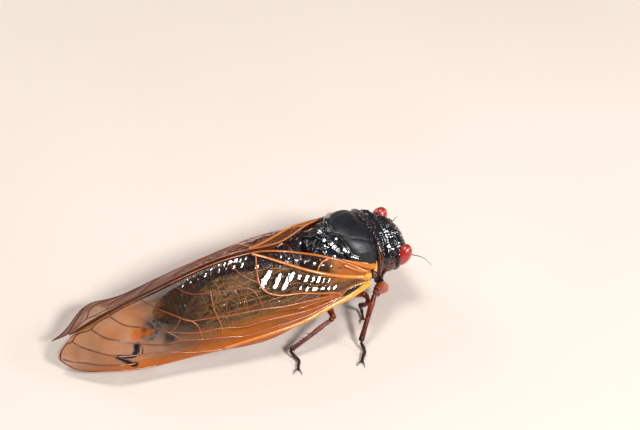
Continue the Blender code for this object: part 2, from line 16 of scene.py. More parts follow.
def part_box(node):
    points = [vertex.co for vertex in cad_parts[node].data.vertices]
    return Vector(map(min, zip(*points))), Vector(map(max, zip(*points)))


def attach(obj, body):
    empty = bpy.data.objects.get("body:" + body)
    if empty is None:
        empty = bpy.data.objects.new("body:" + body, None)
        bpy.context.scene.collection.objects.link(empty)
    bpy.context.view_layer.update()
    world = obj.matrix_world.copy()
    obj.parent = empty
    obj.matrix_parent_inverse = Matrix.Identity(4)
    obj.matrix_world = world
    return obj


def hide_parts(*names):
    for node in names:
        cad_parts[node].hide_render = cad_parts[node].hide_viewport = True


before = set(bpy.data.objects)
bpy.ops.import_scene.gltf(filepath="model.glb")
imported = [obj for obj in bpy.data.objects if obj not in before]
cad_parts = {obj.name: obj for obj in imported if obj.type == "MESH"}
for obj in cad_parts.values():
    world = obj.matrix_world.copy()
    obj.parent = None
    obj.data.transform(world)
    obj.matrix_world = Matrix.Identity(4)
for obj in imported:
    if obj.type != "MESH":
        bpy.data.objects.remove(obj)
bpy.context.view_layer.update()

bl_info = {
    "name": "Periodical cicada",
    "version": (1, 0, 0),
    "blender": (4, 5, 0),
    "location": "3D View > Sidebar > Cicada",
    "description": "Shell, eyes, legs and clear wings of a life-size periodical cicada",
    "category": "Add Mesh",
}

MM = 0.001
# So small that it only keeps a division from failing, and farther off than anything here.
TINY = 1e-12
FAR = 1e9

# The sides of the animal: the sign of Y there, and the word in the nodes' names.
SIDES = ((-1.0, "right"), (1.0, "left"))

# The right eye's middle in the animal's axes: the frame's eye fixes where those axes lie in it.
EYE_CENTRE = np.array((5.92, -3.15, 6.85))

# How far an eye leans forward for its height, and how much further back it reaches under the temple.
EYE_LEAN = 0.22
EYE_REACH = 0.22

# The trunk's plates, as in the solids: x, half width, top, waist and bottom of each section.
HEAD_STATIONS = (
    (4.3, 3.0, 8.15, 6.6, 4.3),
    (5.0, 3.25, 8.38, 6.6, 4.2),
    (5.6, 3.3, 8.42, 6.7, 4.0),
    (6.1, 3.1, 8.12, 6.7, 4.3),
    (6.5, 2.65, 7.7, 6.6, 4.8),
    (6.8, 1.9, 7.2, 6.4, 5.3),
    (6.95, 1.0, 6.85, 6.3, 5.7),
)
COLLAR_STATIONS = (
    (2.05, 4.05, 9.85, 6.8, 3.6),
    (2.35, 4.28, 10.02, 6.8, 3.4),
    (2.6, 4.3, 10.0, 6.8, 3.4),
    (2.9, 4.1, 9.78, 6.8, 3.3),
    (3.6, 4.0, 9.4, 6.7, 3.3),
    (4.2, 3.85, 8.95, 6.6, 3.5),
    (4.9, 3.5, 8.4, 6.6, 3.8),
)
SHIELD_STATIONS = (
    (2.4, 3.7, 9.65, 6.8, 6.2),
    (1.95, 3.85, 9.85, 6.8, 6.2),
    (1.2, 4.05, 10.35, 6.8, 6.2),
    (0.0, 3.98, 10.7, 6.8, 6.2),
    (-0.8, 3.7, 10.75, 6.8, 6.2),
    (-1.6, 3.3, 10.6, 6.8, 6.2),
    (-2.6, 2.85, 10.15, 6.8, 6.2),
    (-3.4, 2.5, 9.65, 6.7, 6.2),
    (-4.3, 2.0, 9.3, 6.6, 6.2),
    (-5.2, 1.4, 8.9, 6.6, 6.2),
)
BREAST_STATIONS = (
    (2.4, 3.2, 6.6, 5.2, 3.1),
    (1.0, 3.7, 6.8, 5.2, 2.7),
    (-1.0, 3.85, 6.8, 5.2, 2.6),
    (-3.0, 3.8, 6.8, 5.2, 2.6),
    (-5.4, 3.4, 6.6, 5.0, 2.75),
)
# The face: its middle, radii and ribs. The three single eyes.
FACE_CENTRE = np.array((5.95, 0.0, 5.55))
FACE_RADII = np.array((1.25, 1.75, 1.85))
FACE_RIBS = 13.0
OCELLI = ((6.15, 0.0, 8.1), (5.7, 0.42, 8.36), (5.7, -0.42, 8.36))
OCELLUS_RADIUS = 0.12
# Balls that fill out the head, collar and shield, with their middle given on the left side: brows,
# antennal ledge and cheek with their share of rust, the lip, the collar's corner and the hind lobe.
BROW_BALLS = (((4.98, 3.05, 6.35), (0.42, 0.84, 1.25)), ((5.15, 2.90, 7.25), (0.46, 0.46, 0.60)))
HEAD_BALLS = (((6.45, 2.15, 6.8), (0.55, 0.62, 0.34), 0.1), ((5.2, 2.4, 5.1), (0.8, 0.9, 1.0), 0.2))
LIP_BALL = ((5.75, 0.0, 3.7), (0.6, 0.8, 0.8))
COLLAR_BALL = ((3.7, 3.72, 6.35), (0.8, 0.5, 0.85))
SHIELD_BALL = ((-5.0, 1.75, 7.35), (1.7, 1.25, 1.35))
FEELER_TIPS = {"right": (8.85, -4.7, 5.6), "left": (8.85, 3.9, 5.3)}
BEAK_LINE = ((5.6, 0.0, 2.9), (5.2, 0.0, 2.35), (4.2, 0.0, 2.2), (2.5, 0.0, 2.0), (0.4, 0.0, 1.75))

# Rows and columns of the big pieces' meshes. The flat facets need columns this close together.
HEAD_MESH = (110, 360)
FACE_MESH = (150, 120)
EYE_MESH = (110, 140)
COLLAR_MESH = (150, 460)
SHIELD_MESH = (240, 340)
BREAST_MESH = (160, 220)
ABDOMEN_MESH = (460, 180)
FOREWING_MESH = (350, 136)
FOREWING_TIP_ROWS = 40
HINDWING_MESH = (240, 90)

# The abdomen: its ends along X, how many rings it has, and its reach up, down and to each side.
ABDOMEN_FRONT = -5.0
ABDOMEN_TIP = -22.8
ABDOMEN_RINGS = 8
ABDOMEN_CROWN = 1.5
ABDOMEN_HALF_WIDTH = 3.5
ABDOMEN_RISE = 2.95
ABDOMEN_DROP = 2.6
# The left drum cover: its middle and radii.
DRUM_COVER = ((-5.75, 1.8, 1.70), (1.2, 1.1, 0.42))

# The folded forewing: x, y and z of its hind margin, y and z of its costal edge, and its bulge.
FOREWING_STATIONS = np.array((
    (0.9, 5.15, 7.35, 5.45, 6.60, 0.00),
    (-1.5, 3.75, 8.45, 5.60, 5.75, 0.20),
    (-4.0, 2.60, 9.30, 5.90, 4.90, 0.50),
    (-7.0, 1.10, 9.60, 6.33, 4.00, 1.00),
    (-11.5, 0.55, 10.27, 6.60, 2.57, 1.08),
    (-17.5, 0.55, 9.70, 6.10, 2.43, 0.57),
    (-22.5, 0.55, 8.05, 5.56, 2.01, 0.46),
    (-26.5, 0.55, 6.70, 5.23, 2.12, 0.26),
    (-29.5, 0.58, 5.45, 4.54, 2.11, 0.62),
    (-32.0, 0.65, 4.05, 2.85, 1.36, 0.08),
    (-33.6, 0.95, 3.00, 1.87, 1.74, 0.00),
))
FOREWING_ROOT = -0.6
FOREWING_ROUNDING = 31.6
FOREWING_TIP = 33.6
HINDWING_ROOT = 2.6
HINDWING_TIP = 20.5
# How far films and veins lie under the roof, how thick a film is, and how far the ridge closes.
MEMBRANE_DEPTH = 0.16
VEIN_DEPTH = MEMBRANE_DEPTH - 0.02
HINDWING_DEPTH = 0.62
FILM_THICKNESS = 0.03
RIDGE_CLOSING = 0.32
# Which way the flat panes of the cells face, how far each leans along the wing, how far it may stand
# off the roof, and over what way its ends, in millimetres, and sides, as a share, blend into it.
PANE_WAY = (-0.075, -0.665, 0.743)
PANE_SLANT = 0.6
PANE_DEPTH = 0.18
PANE_ENDS = 0.05
PANE_SIDES = 0.012
# The rows of panes: places along a cell and the shares across where its middle lies there, half the
# row's share across, its start, its panes' widths, how much of each is flat, and a seed.
LONG_CELL = (4.0, 6.5, 7.7, 10.4, 11.6)
LONG_CELL_MIDDLE = np.array((0.585, 0.485, 0.43, 0.335, 0.265))
PANE_ROWS = (
    (LONG_CELL, LONG_CELL_MIDDLE, 0.140, 8.45, np.linspace(1.0, 1.15, 3), 0.70, 71),
    (LONG_CELL, LONG_CELL_MIDDLE - 0.075, 0.072, 3.9, np.linspace(0.60, 0.80, 7), 0.74, 72),
    (LONG_CELL, LONG_CELL_MIDDLE + 0.082, 0.054, 3.3, np.linspace(0.72, 0.90, 6), 0.74, 73),
    ((11.0, 12.0), (0.165, 0.155), 0.040, 11.3, np.full(1, 0.75), 0.70, 77),
    ((1.8, 4.1, 6.5, 10.2), (0.22, 0.19, 0.14, 0.05), 0.035, 2.2, np.full(8, 0.85), 0.45, 74),
    ((12.4, 20.0), (0.050, 0.045), 0.026, 12.4, np.full(12, 0.62), 0.72, 75),
    ((12.6, 20.0), (0.105, 0.10), 0.026, 12.8, np.full(9, 0.80), 0.60, 76),
)
# The height of a line inside the roof, which tells its inner from its outer side.
ROOF_AXIS_HEIGHT = 1.0

# Which way the polished facets of the head and thorax face on the right side, how soft their edges
# are, and how deep they may cut.
FACET_WAY = (-0.115, -0.667, 0.737)
FACET_EDGE = 0.03
FACET_DEPTH = 0.2
# The loop of big facets behind the dome: x, distance from the middle line, and radius along it.
LOOP_LINE = (
    (-3.9, 0.75, 0.20), (-3.57, 1.05, 0.24), (-3.14, 1.50, 0.27), (-2.62, 1.98, 0.30), (-2.30, 2.32, 0.30),
    (-2.00, 2.55, 0.26), (-1.72, 2.78, 0.22), (-1.40, 2.95, 0.18),
)
LOOP_FACETS = ((-3.05, 1.12, 0.26), (-2.3, 1.45, 0.20), (-2.75, 2.45, 0.20))

# Veins of the forewing: radius at its two ends, tone at its two ends (0 yellow, 1 dark brown),
# then points as (distance behind the body's middle, share of the way from hind margin to costa).
FOREWING_VEINS = (
    (0.4, 0.17, 0.0, 0.34, ((-0.5, 1.02), (0.6, 1.12), (2.5, 1.08), (4.5, 1.02), (8.0, 0.985),
        (16.8, 0.985))),
    (0.12, 0.075, 0.55, 0.88, ((16.6, 0.985), (22.0, 0.99), (28.0, 0.99), (31.4, 0.985), (32.9, 0.84),
        (33.4, 0.62))),
    (0.16, 0.09, 0.3, 0.55, ((-0.4, 0.1), (1.5, 0.02), (6.0, 0.015), (11.9, 0.012))),
    (0.09, 0.07, 0.7, 0.92, ((11.9, 0.012), (18.0, 0.012), (24.4, 0.012), (27.7, 0.03))),
    (0.24, 0.13, 0.18, 0.38, ((-0.3, 0.52), (1.8, 0.46), (4.1, 0.37), (6.5, 0.27), (10.2, 0.09),
        (11.9, 0.02))),
    (0.12, 0.08, 0.45, 0.5, ((2.9, 0.9), (3.7, 0.78), (4.9, 0.71), (7.7, 0.585), (10.4, 0.505),
        (11.7, 0.4), (11.95, 0.26), (11.75, 0.14), (11.4, 0.03))),
    (0.12, 0.055, 0.56, 0.62, ((2.9, 0.93), (4.0, 0.83), (6.2, 0.75), (10.0, 0.66), (12.3, 0.61),
        (15.7, 0.6), (18.6, 0.56), (20.2, 0.51), (20.8, 0.45))),
    (0.13, 0.06, 0.56, 0.66, ((2.9, 0.95), (3.6, 0.93), (6.2, 0.89), (8.7, 0.82), (12.5, 0.75),
        (14.3, 0.76), (17.2, 0.72), (18.9, 0.71), (21.4, 0.62), (22.2, 0.58))),
    (0.13, 0.065, 0.55, 0.95, ((2.9, 0.97), (4.2, 0.965), (8.1, 0.92), (12.6, 0.86), (14.4, 0.87),
        (16.7, 0.84), (19.1, 0.8), (21.1, 0.74), (22.7, 0.73), (25.4, 0.62), (26.6, 0.55), (27.8, 0.45),
        (28.7, 0.36), (29.9, 0.09))),
    (0.07, 0.06, 0.75, 0.95, ((21.1, 0.74), (22.3, 0.58), (23.6, 0.48), (25.0, 0.39), (26.7, 0.25),
        (27.7, 0.06))),
    (0.07, 0.06, 0.75, 0.92, ((20.8, 0.45), (22.0, 0.33), (23.3, 0.18), (24.4, 0.02))),
    (0.055, 0.045, 0.62, 0.75, ((11.9, 0.33), (13.4, 0.22), (14.7, 0.03))),
    (0.055, 0.045, 0.62, 0.78, ((12.0, 0.62), (13.3, 0.35), (14.8, 0.33), (17.2, 0.29), (19.3, 0.22),
        (20.9, 0.02))),
    (0.05, 0.05, 0.45, 0.5, ((17.2, 0.28), (17.2, 0.5), (16.8, 0.68), (16.8, 0.83))),
    (0.05, 0.05, 0.45, 0.55, ((20.2, 0.5), (19.3, 0.6), (19.0, 0.79))),
    (0.05, 0.045, 0.7, 0.75, ((20.8, 0.45), (21.6, 0.55), (22.2, 0.58))),
    (0.1, 0.07, 0.45, 0.85, ((16.8, 0.985), (20.4, 0.93), (23.1, 0.83), (25.3, 0.79), (28.0, 0.74))),
    (0.07, 0.06, 0.88, 0.98, ((28.0, 0.74), (29.4, 0.63), (30.7, 0.45), (31.5, 0.28), (31.9, 0.13))),
    (0.08, 0.06, 1.0, 1.0, ((28.0, 0.74), (27.0, 0.83), (26.2, 0.91))),
    (0.07, 0.06, 0.8, 0.92, ((26.2, 0.91), (28.7, 0.88), (30.1, 0.84), (31.3, 0.76), (32.3, 0.71),
        (33.1, 0.6))),
    (0.06, 0.05, 0.95, 0.85, ((25.4, 0.785), (25.2, 0.7), (25.4, 0.62))),
    (0.07, 0.07, 0.88, 0.92, ((27.7, 0.045), (28.3, 0.04), (29.2, 0.045), (29.9, 0.09), (30.8, 0.06),
        (31.6, 0.07), (31.9, 0.13), (32.4, 0.1), (32.95, 0.16), (33.3, 0.35), (33.35, 0.5),
        (33.4, 0.62))),
    (0.1, 0.06, 0.5, 0.6, ((2.6, 0.99), (3.8, 0.985), (6.0, 0.955), (9.0, 0.91), (12.0, 0.88),
        (14.2, 0.87))),
    (0.08, 0.05, 0.52, 0.6, ((3.2, 0.9), (4.6, 0.845), (6.6, 0.8), (8.4, 0.785))),
    (0.09, 0.06, 0.2, 0.35, ((3.7, 0.03), (4.6, 0.14), (5.3, 0.3))),
    (0.08, 0.07, 0.1, 0.5, ((-0.3, 0.86), (1.0, 0.82), (2.2, 0.84), (2.9, 0.94))),
)
# Veins of the hindwing, in the same form.
HINDWING_VEINS = (
    (0.09, 0.05, 0.45, 0.6, ((2.8, 0.52), (6.0, 0.64), (11.0, 0.71), (19.0, 0.66))),
    (0.08, 0.05, 0.45, 0.6, ((2.8, 0.5), (8.0, 0.56), (14.0, 0.57), (20.0, 0.55))),
    (0.08, 0.05, 0.45, 0.6, ((2.8, 0.48), (8.0, 0.44), (14.0, 0.42), (19.3, 0.42))),
    (0.08, 0.05, 0.45, 0.6, ((2.8, 0.47), (7.0, 0.36), (12.0, 0.29), (16.5, 0.27))),
    (0.07, 0.05, 0.45, 0.6, ((2.8, 0.46), (6.0, 0.28), (10.0, 0.2), (13.0, 0.2))),
    (0.05, 0.05, 0.35, 0.35, ((13.8, 0.42), (13.6, 0.5), (13.8, 0.57))),
    (0.05, 0.05, 0.35, 0.35, ((11.2, 0.57), (11.0, 0.64), (11.4, 0.71))),
    (0.045, 0.04, 0.35, 0.35, ((16.5, 0.42), (16.2, 0.36), (16.4, 0.27))),
    (0.045, 0.04, 0.35, 0.35, ((15.5, 0.57), (16.0, 0.62), (15.8, 0.69))),
    (0.045, 0.04, 0.3, 0.3, ((9.0, 0.45), (9.6, 0.38), (9.2, 0.33))),
    (0.045, 0.04, 0.3, 0.3, ((17.5, 0.56), (17.2, 0.5), (17.6, 0.42))),
)
# How far apart the points of a vein lie.
VEIN_STEP = 0.22
# Stains by the wing tip: the black zigzag, then orange spots and dark blotches with their reach in
# millimetres.
ZIGZAG = ((26.4, 0.93), (28.1, 0.735), (26.4, 0.785), (25.95, 0.72), (25.75, 0.64))
LARGE_SPOT = (25.5, 0.49, 0.62)
SMALL_SPOT = (24.3, 0.49, 0.45)
LARGE_BLOTCH = (23.7, 0.46, 1.45)
SMALL_BLOTCH = (22.3, 0.66, 0.75)
# The fold under the ridge: where it begins and ends along the wing, and how far it hangs down.
FOLD_START = 8.0
FOLD_END = 32.0
FOLD_DEPTH = 0.6

# How many sines make up an uneven field.
BUMP_WAVES = 14
# A way that no hair, spur or tooth runs in.
ASKEW = (0.31, 0.52, 0.79)
# The legs' hairs and spurs.
HAIR_RADIUS = 0.014
HAIR_LENGTH = 0.20
SPUR_RADIUS = 0.07

# Legs: root of the coxa, trochanter, knee, top of the shin, ankle, heel and claw, on the right side.
LEG_JOINTS = {
    "front": (
        (3.5, -2.4, 2.9), (3.65, -3.9, 2.85), (1.4, -5.6, 5.1), (0.9, -6.1, 4.4),
        (-1.5, -8.85, 0.9), (-1.4, -9.75, 0.4), (-2.3, -11.0, 0.2),
    ),
    "middle": (
        (0.0, -2.2, 2.05), (0.1, -3.3, 2.45), (0.6, -4.95, 3.75), (0.68, -5.62, 3.52),
        (0.3, -4.6, 1.8), (0.75, -4.45, 0.7), (0.55, -5.4, 0.2),
    ),
    "hind": (
        (-3.2, -2.3, 2.05), (-3.4, -3.8, 2.1), (-4.1, -6.5, 3.35), (-5.0, -6.65, 2.95),
        (-9.5, -7.35, 0.9), (-8.9, -8.6, 0.35), (-9.4, -9.6, 0.2),
    ),
}
# Radii of each pair's coxa, thigh, shin and foot.
LEG_RADII = {
    "front": (0.55, 0.70, 0.31, 0.22),
    "middle": (0.46, 0.40, 0.27, 0.20),
    "hind": (0.46, 0.40, 0.28, 0.20),
}
# Over how many points to either side a limb's thickness is evened out.
LIMB_SMOOTHING = 4
# How far each pair's shin bows out, and how many spurs it carries.
SHIN_BOW = {"front": 0.0, "middle": 0.3, "hind": 0.1}
SHIN_SPURS = {"front": 3, "middle": 4, "hind": 9}
# The ball that joins a coxa to the body, and how far it reaches up.
COXA_BALL = (0.62, 0.62, 0.78)
COXA_REACH = (0.0, 0.0, 0.5)
# Teeth under the front thigh: how far along it, and how long.
FRONT_TEETH = ((0.30, 0.62), (0.62, 0.7), (0.80, 0.4))
FOOT_JOINTS = 3
# The lowest that a claw's middle line comes to the floor.
CLAW_REST = 0.03
# A claw's curve from the foot's end: out to its side, ahead, and up.
CLAW_HOOK = ((0.05, 0.0, 0.02), (0.30, 0.28, 0.06), (0.46, 0.62, -0.16))
# How the left legs stand off from a plain mirror image of the right ones.
LEFT_SHIFT = {"front": 0.9, "middle": -0.9, "hind": -1.6}
LEFT_TUCK = {"front": 1.5, "middle": 0.0, "hind": 1.7}
TUCK_SHARES = np.array((0.0, 0.0, 0.04, 0.12, 0.30, 0.36, 0.95))

# The photograph's view: where the camera looks, from how far, turned how, with what lens.
VIEW_TARGET = (-4.618, -1.121, 14.379)
VIEW_DISTANCE = 135.613
VIEW_AZIMUTH = -30.593
VIEW_ELEVATION = 43.895
VIEW_ROLL = 8.713
VIEW_LENS = 71.54
SENSOR_WIDTH = 36.0
VIEW_CLIP = (0.005, 5.0)

# The lamps: name, way to the lamp, distance and size in metres, and watts. Then the world and floor.
LAMPS = (
    ("key", (0.20, -0.68, 0.70), 0.30, 0.060, 0.85),
    ("sky", (-0.25, 0.15, 1.0), 0.45, 0.13, 0.95),
    ("rim", (0.85, -0.35, 0.55), 0.35, 0.08, 0.22),
    ("far", (-0.5, 0.75, 0.45), 0.40, 0.16, 0.30),
)
LAMP_TARGET = (-8.0, 0.0, 5.0)
WORLD_COLOUR = (1.0, 0.97, 0.95, 1.0)
WORLD_STRENGTH = 0.16
FLOOR_REACH = 1.2
FLOOR_COLOURS = ((0.76, 0.66, 0.59), (0.73, 0.63, 0.56))


# The coat over shell, eyes and veins, and how strongly all of them refract.
COAT_ROUGHNESS = 0.06
CUTICLE_IOR = 1.5


def frame_shift():
    """From the animal's axes to the frame's, in millimetres, found at the right eye."""
    low, high = (np.array(corner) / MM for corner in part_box("eye_right"))
    return (low + high) / 2.0 - EYE_CENTRE


SHIFT = frame_shift()


def to_frame(points):
    """Points in the animal's millimetres as metres in the frame."""
    return (np.asarray(points, float) + SHIFT) * MM


def millimetres(size):
    """A size property in millimetres, without the last digits, which single precision makes up."""
    return round(size / MM, 5)


def on_side(place, side):
    """A place given on the left side, on the side asked for."""
    return np.array(place) * (1.0, side, 1.0)


def full_turn(count):
    """Angles at even steps round a ring."""
    return 2.0 * np.pi * np.arange(count) / count


class Shape:
    """The points, faces and per-point values of one piece, gathered grid by grid."""

    def __init__(self):
        self.points, self.faces, self.values, self.count = [], [], {}, 0

    def _add(self, points, faces, values):
        for name, value in values.items():
            self.values.setdefault(name, []).append((self.count, np.broadcast_to(value, len(points))))
        self.points.append(points)
        self.faces += [block + self.count for block in faces]
        self.count += len(points)

    def grid(self, points, **values):
        """A closed form: rings of points, each ring closed, with a fan to the middle of each end ring.

        The faces are turned outwards, which the sign of the enclosed volume tells.
        """
        rows, columns = points.shape[:2]
        flat = points.reshape(-1, 3)
        index = np.arange(rows * columns).reshape(rows, columns)
        after = np.roll(index, -1, axis=1)
        quads = np.stack([index[:-1], after[:-1], after[1:], index[1:]], axis=-1).reshape(-1, 4)
        values = {name: np.broadcast_to(value, (rows, columns)).reshape(-1)
                  for name, value in values.items()}
        first, last = len(flat), len(flat) + 1
        flat = np.concatenate([flat, points[[0, -1]].mean(axis=1)])
        blocks = [quads, np.stack([after[0], index[0], np.full(columns, first)], axis=-1),
                  np.stack([index[-1], after[-1], np.full(columns, last)], axis=-1)]
        values = {name: np.append(value, (value[0], value[-1])) for name, value in values.items()}
        corners = flat[quads[:, [0, 1, 2]]], flat[quads[:, [0, 2, 3]]]
        middle = flat.mean(axis=0)
        volume = sum(np.einsum("ij,ij->", c[:, 0] - middle, np.cross(c[:, 1] - middle, c[:, 2] - middle))
                     for c in corners)
        if volume < 0.0:
            blocks = [block[:, ::-1] for block in blocks]
        self._add(flat, blocks, values)

    def plate(self, outer, inner, **values):
        """A thin closed plate: an outer and an inner grid, alike, joined round their edges."""
        rows, columns = outer.shape[:2]
        index = np.arange(rows * columns).reshape(rows, columns)
        top = np.stack([index[:-1, :-1], index[1:, :-1], index[1:, 1:], index[:-1, 1:]], axis=-1)
        top = top.reshape(-1, 4)
        edge = np.concatenate([index[0, :-1], index[:-1, -1], index[-1, :0:-1], index[:0:-1, 0]])
        after = np.roll(edge, -1)
        rim = np.stack([edge, after, after + rows * columns, edge + rows * columns], axis=-1)
        points = np.concatenate([outer.reshape(-1, 3), inner.reshape(-1, 3)])
        blocks = [top, (top + rows * columns)[:, ::-1], rim]
        normal = np.cross(points[top[:, 2]] - points[top[:, 0]], points[top[:, 3]] - points[top[:, 1]])
        lean = np.einsum("ij,ij->", normal, points[top[:, 0]] - points[top[:, 0] + rows * columns])
        if lean < 0.0:
            blocks = [block[:, ::-1] for block in blocks]
        values = {name: np.tile(np.broadcast_to(value, (rows, columns)).reshape(-1), 2)
                  for name, value in values.items()}
        self._add(points, blocks, values)

    def cones(self, roots, tips, radius, sides, **values):
        """Many fine closed cones at once: hairs, spines and spurs."""
        roots, tips = np.atleast_2d(roots), np.atleast_2d(tips)
        ahead = tips - roots
        ahead /= np.linalg.norm(ahead, axis=1, keepdims=True)
        across = np.cross(ahead, ASKEW)
        across /= np.linalg.norm(across, axis=1, keepdims=True)
        up = np.cross(ahead, across)
        turn = full_turn(sides)[:, None]
        radius = np.broadcast_to(radius, len(roots))[:, None, None]
        ring = roots[:, None] + radius * (across[:, None] * np.cos(turn) + up[:, None] * np.sin(turn))
        points = np.concatenate([ring, tips[:, None], roots[:, None]], axis=1).reshape(-1, 3)
        side = np.arange(sides)
        next_side = (side + 1) % sides
        one = np.concatenate([np.stack([side, next_side, side * 0 + sides], axis=1),
                              np.stack([next_side, side, side * 0 + sides + 1], axis=1)])
        faces = (one[None] + (np.arange(len(roots)) * (sides + 2))[:, None, None]).reshape(-1, 3)
        values = {name: np.repeat(np.broadcast_to(value, len(roots)), sides + 2)
                  for name, value in values.items()}
        self._add(points, [faces], values)

    def mirrored(self):
        """The same shape on the animal's other side, its faces turned round with it."""
        other = Shape()
        other.points = [points * (1.0, -1.0, 1.0) for points in self.points]
        other.faces = [block[:, ::-1] for block in self.faces]
        other.values, other.count = self.values, self.count
        return other

    def build(self, name, material, slot, replaces=()):
        """Make the piece, let it ride on the root body and stand for the nodes that it replaces."""
        mesh = bpy.data.meshes.new(name)
        points = to_frame(np.concatenate(self.points))
        mesh.vertices.add(len(points))
        mesh.vertices.foreach_set("co", points.astype(np.float32).ravel())
        loops = np.concatenate([block.ravel() for block in self.faces])
        totals = np.concatenate([np.full(len(block), block.shape[1]) for block in self.faces])
        mesh.loops.add(len(loops))
        mesh.loops.foreach_set("vertex_index", loops.astype(np.int32))
        mesh.polygons.add(len(totals))
        starts = np.concatenate([[0], np.cumsum(totals)[:-1]])
        mesh.polygons.foreach_set("loop_start", starts.astype(np.int32))
        mesh.polygons.foreach_set("loop_total", totals.astype(np.int32))
        mesh.update(calc_edges=True)
        mesh.validate()
        for value_name, blocks in self.values.items():
            whole = np.zeros(len(points), np.float32)
            for start, block in blocks:
                whole[start:start + len(block)] = block
            mesh.attributes.new(value_name, "FLOAT", "POINT").data.foreach_set("value", whole)
        mesh.shade_smooth()
        mesh.materials.append(material)
        piece = bpy.data.objects.new(name, mesh)
        bpy.context.scene.collection.objects.link(piece)
        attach(piece, "root")
        if replaces:
            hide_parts(*replaces)

    def build_pair(self, name, material, slot, node=None):
        """Make the piece on the right and its mirror image on the left, each for its side's node."""
        for word, shape in (("right", self), ("left", self.mirrored())):
            shape.build(name + word, material, slot, [node + word] if node else ())


# Curves and surfaces

def spline(knots, values):
    """A natural cubic spline through values at rising knots, as a function of an array."""
    knots, values = np.asarray(knots, float), np.asarray(values, float)
    steps = np.diff(knots)
    count = len(knots)
    system, right = np.eye(count), np.zeros((count,) + values.shape[1:])
    for row in range(1, count - 1):
        system[row, row - 1:row + 2] = (steps[row - 1], 2.0 * (steps[row - 1] + steps[row]), steps[row])
        right[row] = 6.0 * ((values[row + 1] - values[row]) / steps[row]
                            - (values[row] - values[row - 1]) / steps[row - 1])
    bend = np.linalg.solve(system, right)

    def at(place):
        place = np.asarray(place, float)
        span = np.clip(np.searchsorted(knots, place) - 1, 0, count - 2)
        shape = place.shape + (1,) * (values.ndim - 1)
        before, after = (place - knots[span]).reshape(shape), (knots[span + 1] - place).reshape(shape)
        step = steps[span].reshape(shape)
        return ((bend[span] * after ** 3 + bend[span + 1] * before ** 3) / (6.0 * step)
                + (values[span] / step - bend[span] * step / 6.0) * after
                + (values[span + 1] / step - bend[span + 1] * step / 6.0) * before)

    return at


def smooth_line(points, count):
    """Points at even steps along a spline through the given ones."""
    points = np.asarray(points, float)
    if len(points) == 2:
        return points[0] + (points[1] - points[0]) * np.linspace(0.0, 1.0, count)[:, None]
    reach = np.concatenate([[0.0], np.cumsum(np.linalg.norm(np.diff(points, axis=0), axis=1))])
    return spline(reach, points)(np.linspace(0.0, reach[-1], count))


def tube_rings(path, radii, sides, hint=(0.0, 0.0, 1.0), flat=1.0):
    """Rings round a path: an oval of the given radius at each point, flat times as high as wide.

    hint is the direction, or one for each point, that the oval's height leans towards.
    """
    path = np.asarray(path, float)
    ahead = np.gradient(path, axis=0)
    ahead /= np.linalg.norm(ahead, axis=1, keepdims=True)
    across = np.cross(ahead, np.broadcast_to(hint, path.shape))
    across /= np.linalg.norm(across, axis=1, keepdims=True) + TINY
    up = np.cross(across, ahead)
    turn = full_turn(sides)[:, None]
    radii = np.broadcast_to(radii, len(path))[:, None, None]
    return path[:, None] + radii * (across[:, None] * np.cos(turn) + flat * up[:, None] * np.sin(turn))


def rounded_ends(radii, share=0.12):
    """Radii that fall to almost nothing at both ends on a quarter circle, for blunt tube ends."""
    place = np.linspace(0.0, 1.0, len(radii))
    near = unit(np.minimum(place, 1.0 - place) / share)
    return radii * np.sqrt(np.maximum(1.0 - (1.0 - near) ** 2, 0.0009))


def ball_rings(centre, radii, rows=24, columns=32):
    """An ellipsoid as rings about its own Z axis, from just under its top to just over its bottom."""
    tilt = np.linspace(0.03, np.pi - 0.03, rows)[:, None]
    turn = full_turn(columns)
    ways = [np.sin(tilt) * np.cos(turn), np.sin(tilt) * np.sin(turn), np.cos(tilt) + 0.0 * turn]
    return np.asarray(centre) + np.stack(ways, axis=-1) * radii


def section_rings(stations, rows, columns, fullness=1.0):
    """A trunk plate: ovals carried along X, their half width, top, waist and bottom on splines.

    The upper and lower half ovals meet at the waist. A fullness under 1 squares their shoulders.
    """
    table = np.array(stations)
    order = np.argsort(table[:, 0])
    table = table[order]
    x = np.linspace(table[0, 0], table[-1, 0], rows)
    half, top, waist, bottom = [spline(table[:, 0], values)(x)[:, None] for values in table.T[1:]]
    turn = full_turn(columns)
    across = np.sign(np.cos(turn)) * np.abs(np.cos(turn)) ** fullness
    up = np.sign(np.sin(turn)) * np.abs(np.sin(turn)) ** fullness
    reach = np.where(up > 0.0, top - waist, waist - bottom)
    return np.stack([x[:, None] + 0.0 * turn, half * across, waist + reach * up], axis=-1)


def normals_of(rings):
    """Unit normals of closed rings, away from the middle of each."""
    across = np.roll(rings, -1, axis=1) - np.roll(rings, 1, axis=1)
    normal = np.cross(np.gradient(rings, axis=0), across)
    normal /= np.linalg.norm(normal, axis=-1, keepdims=True) + TINY
    return normal * np.sign(((rings - rings.mean(axis=1, keepdims=True)) * normal).sum(axis=-1).mean())


def raised(rings, height):
    """Rings moved along their normals."""
    return rings + normals_of(rings) * height[..., None]


def scattered(count, x_range, y_range, radii, seed):
    """Seeded places for small facets: x, distance from the middle line, and radius."""
    draw = np.random.default_rng(seed)
    return np.stack([draw.uniform(*span, count) for span in (x_range, y_range, radii)], axis=1)


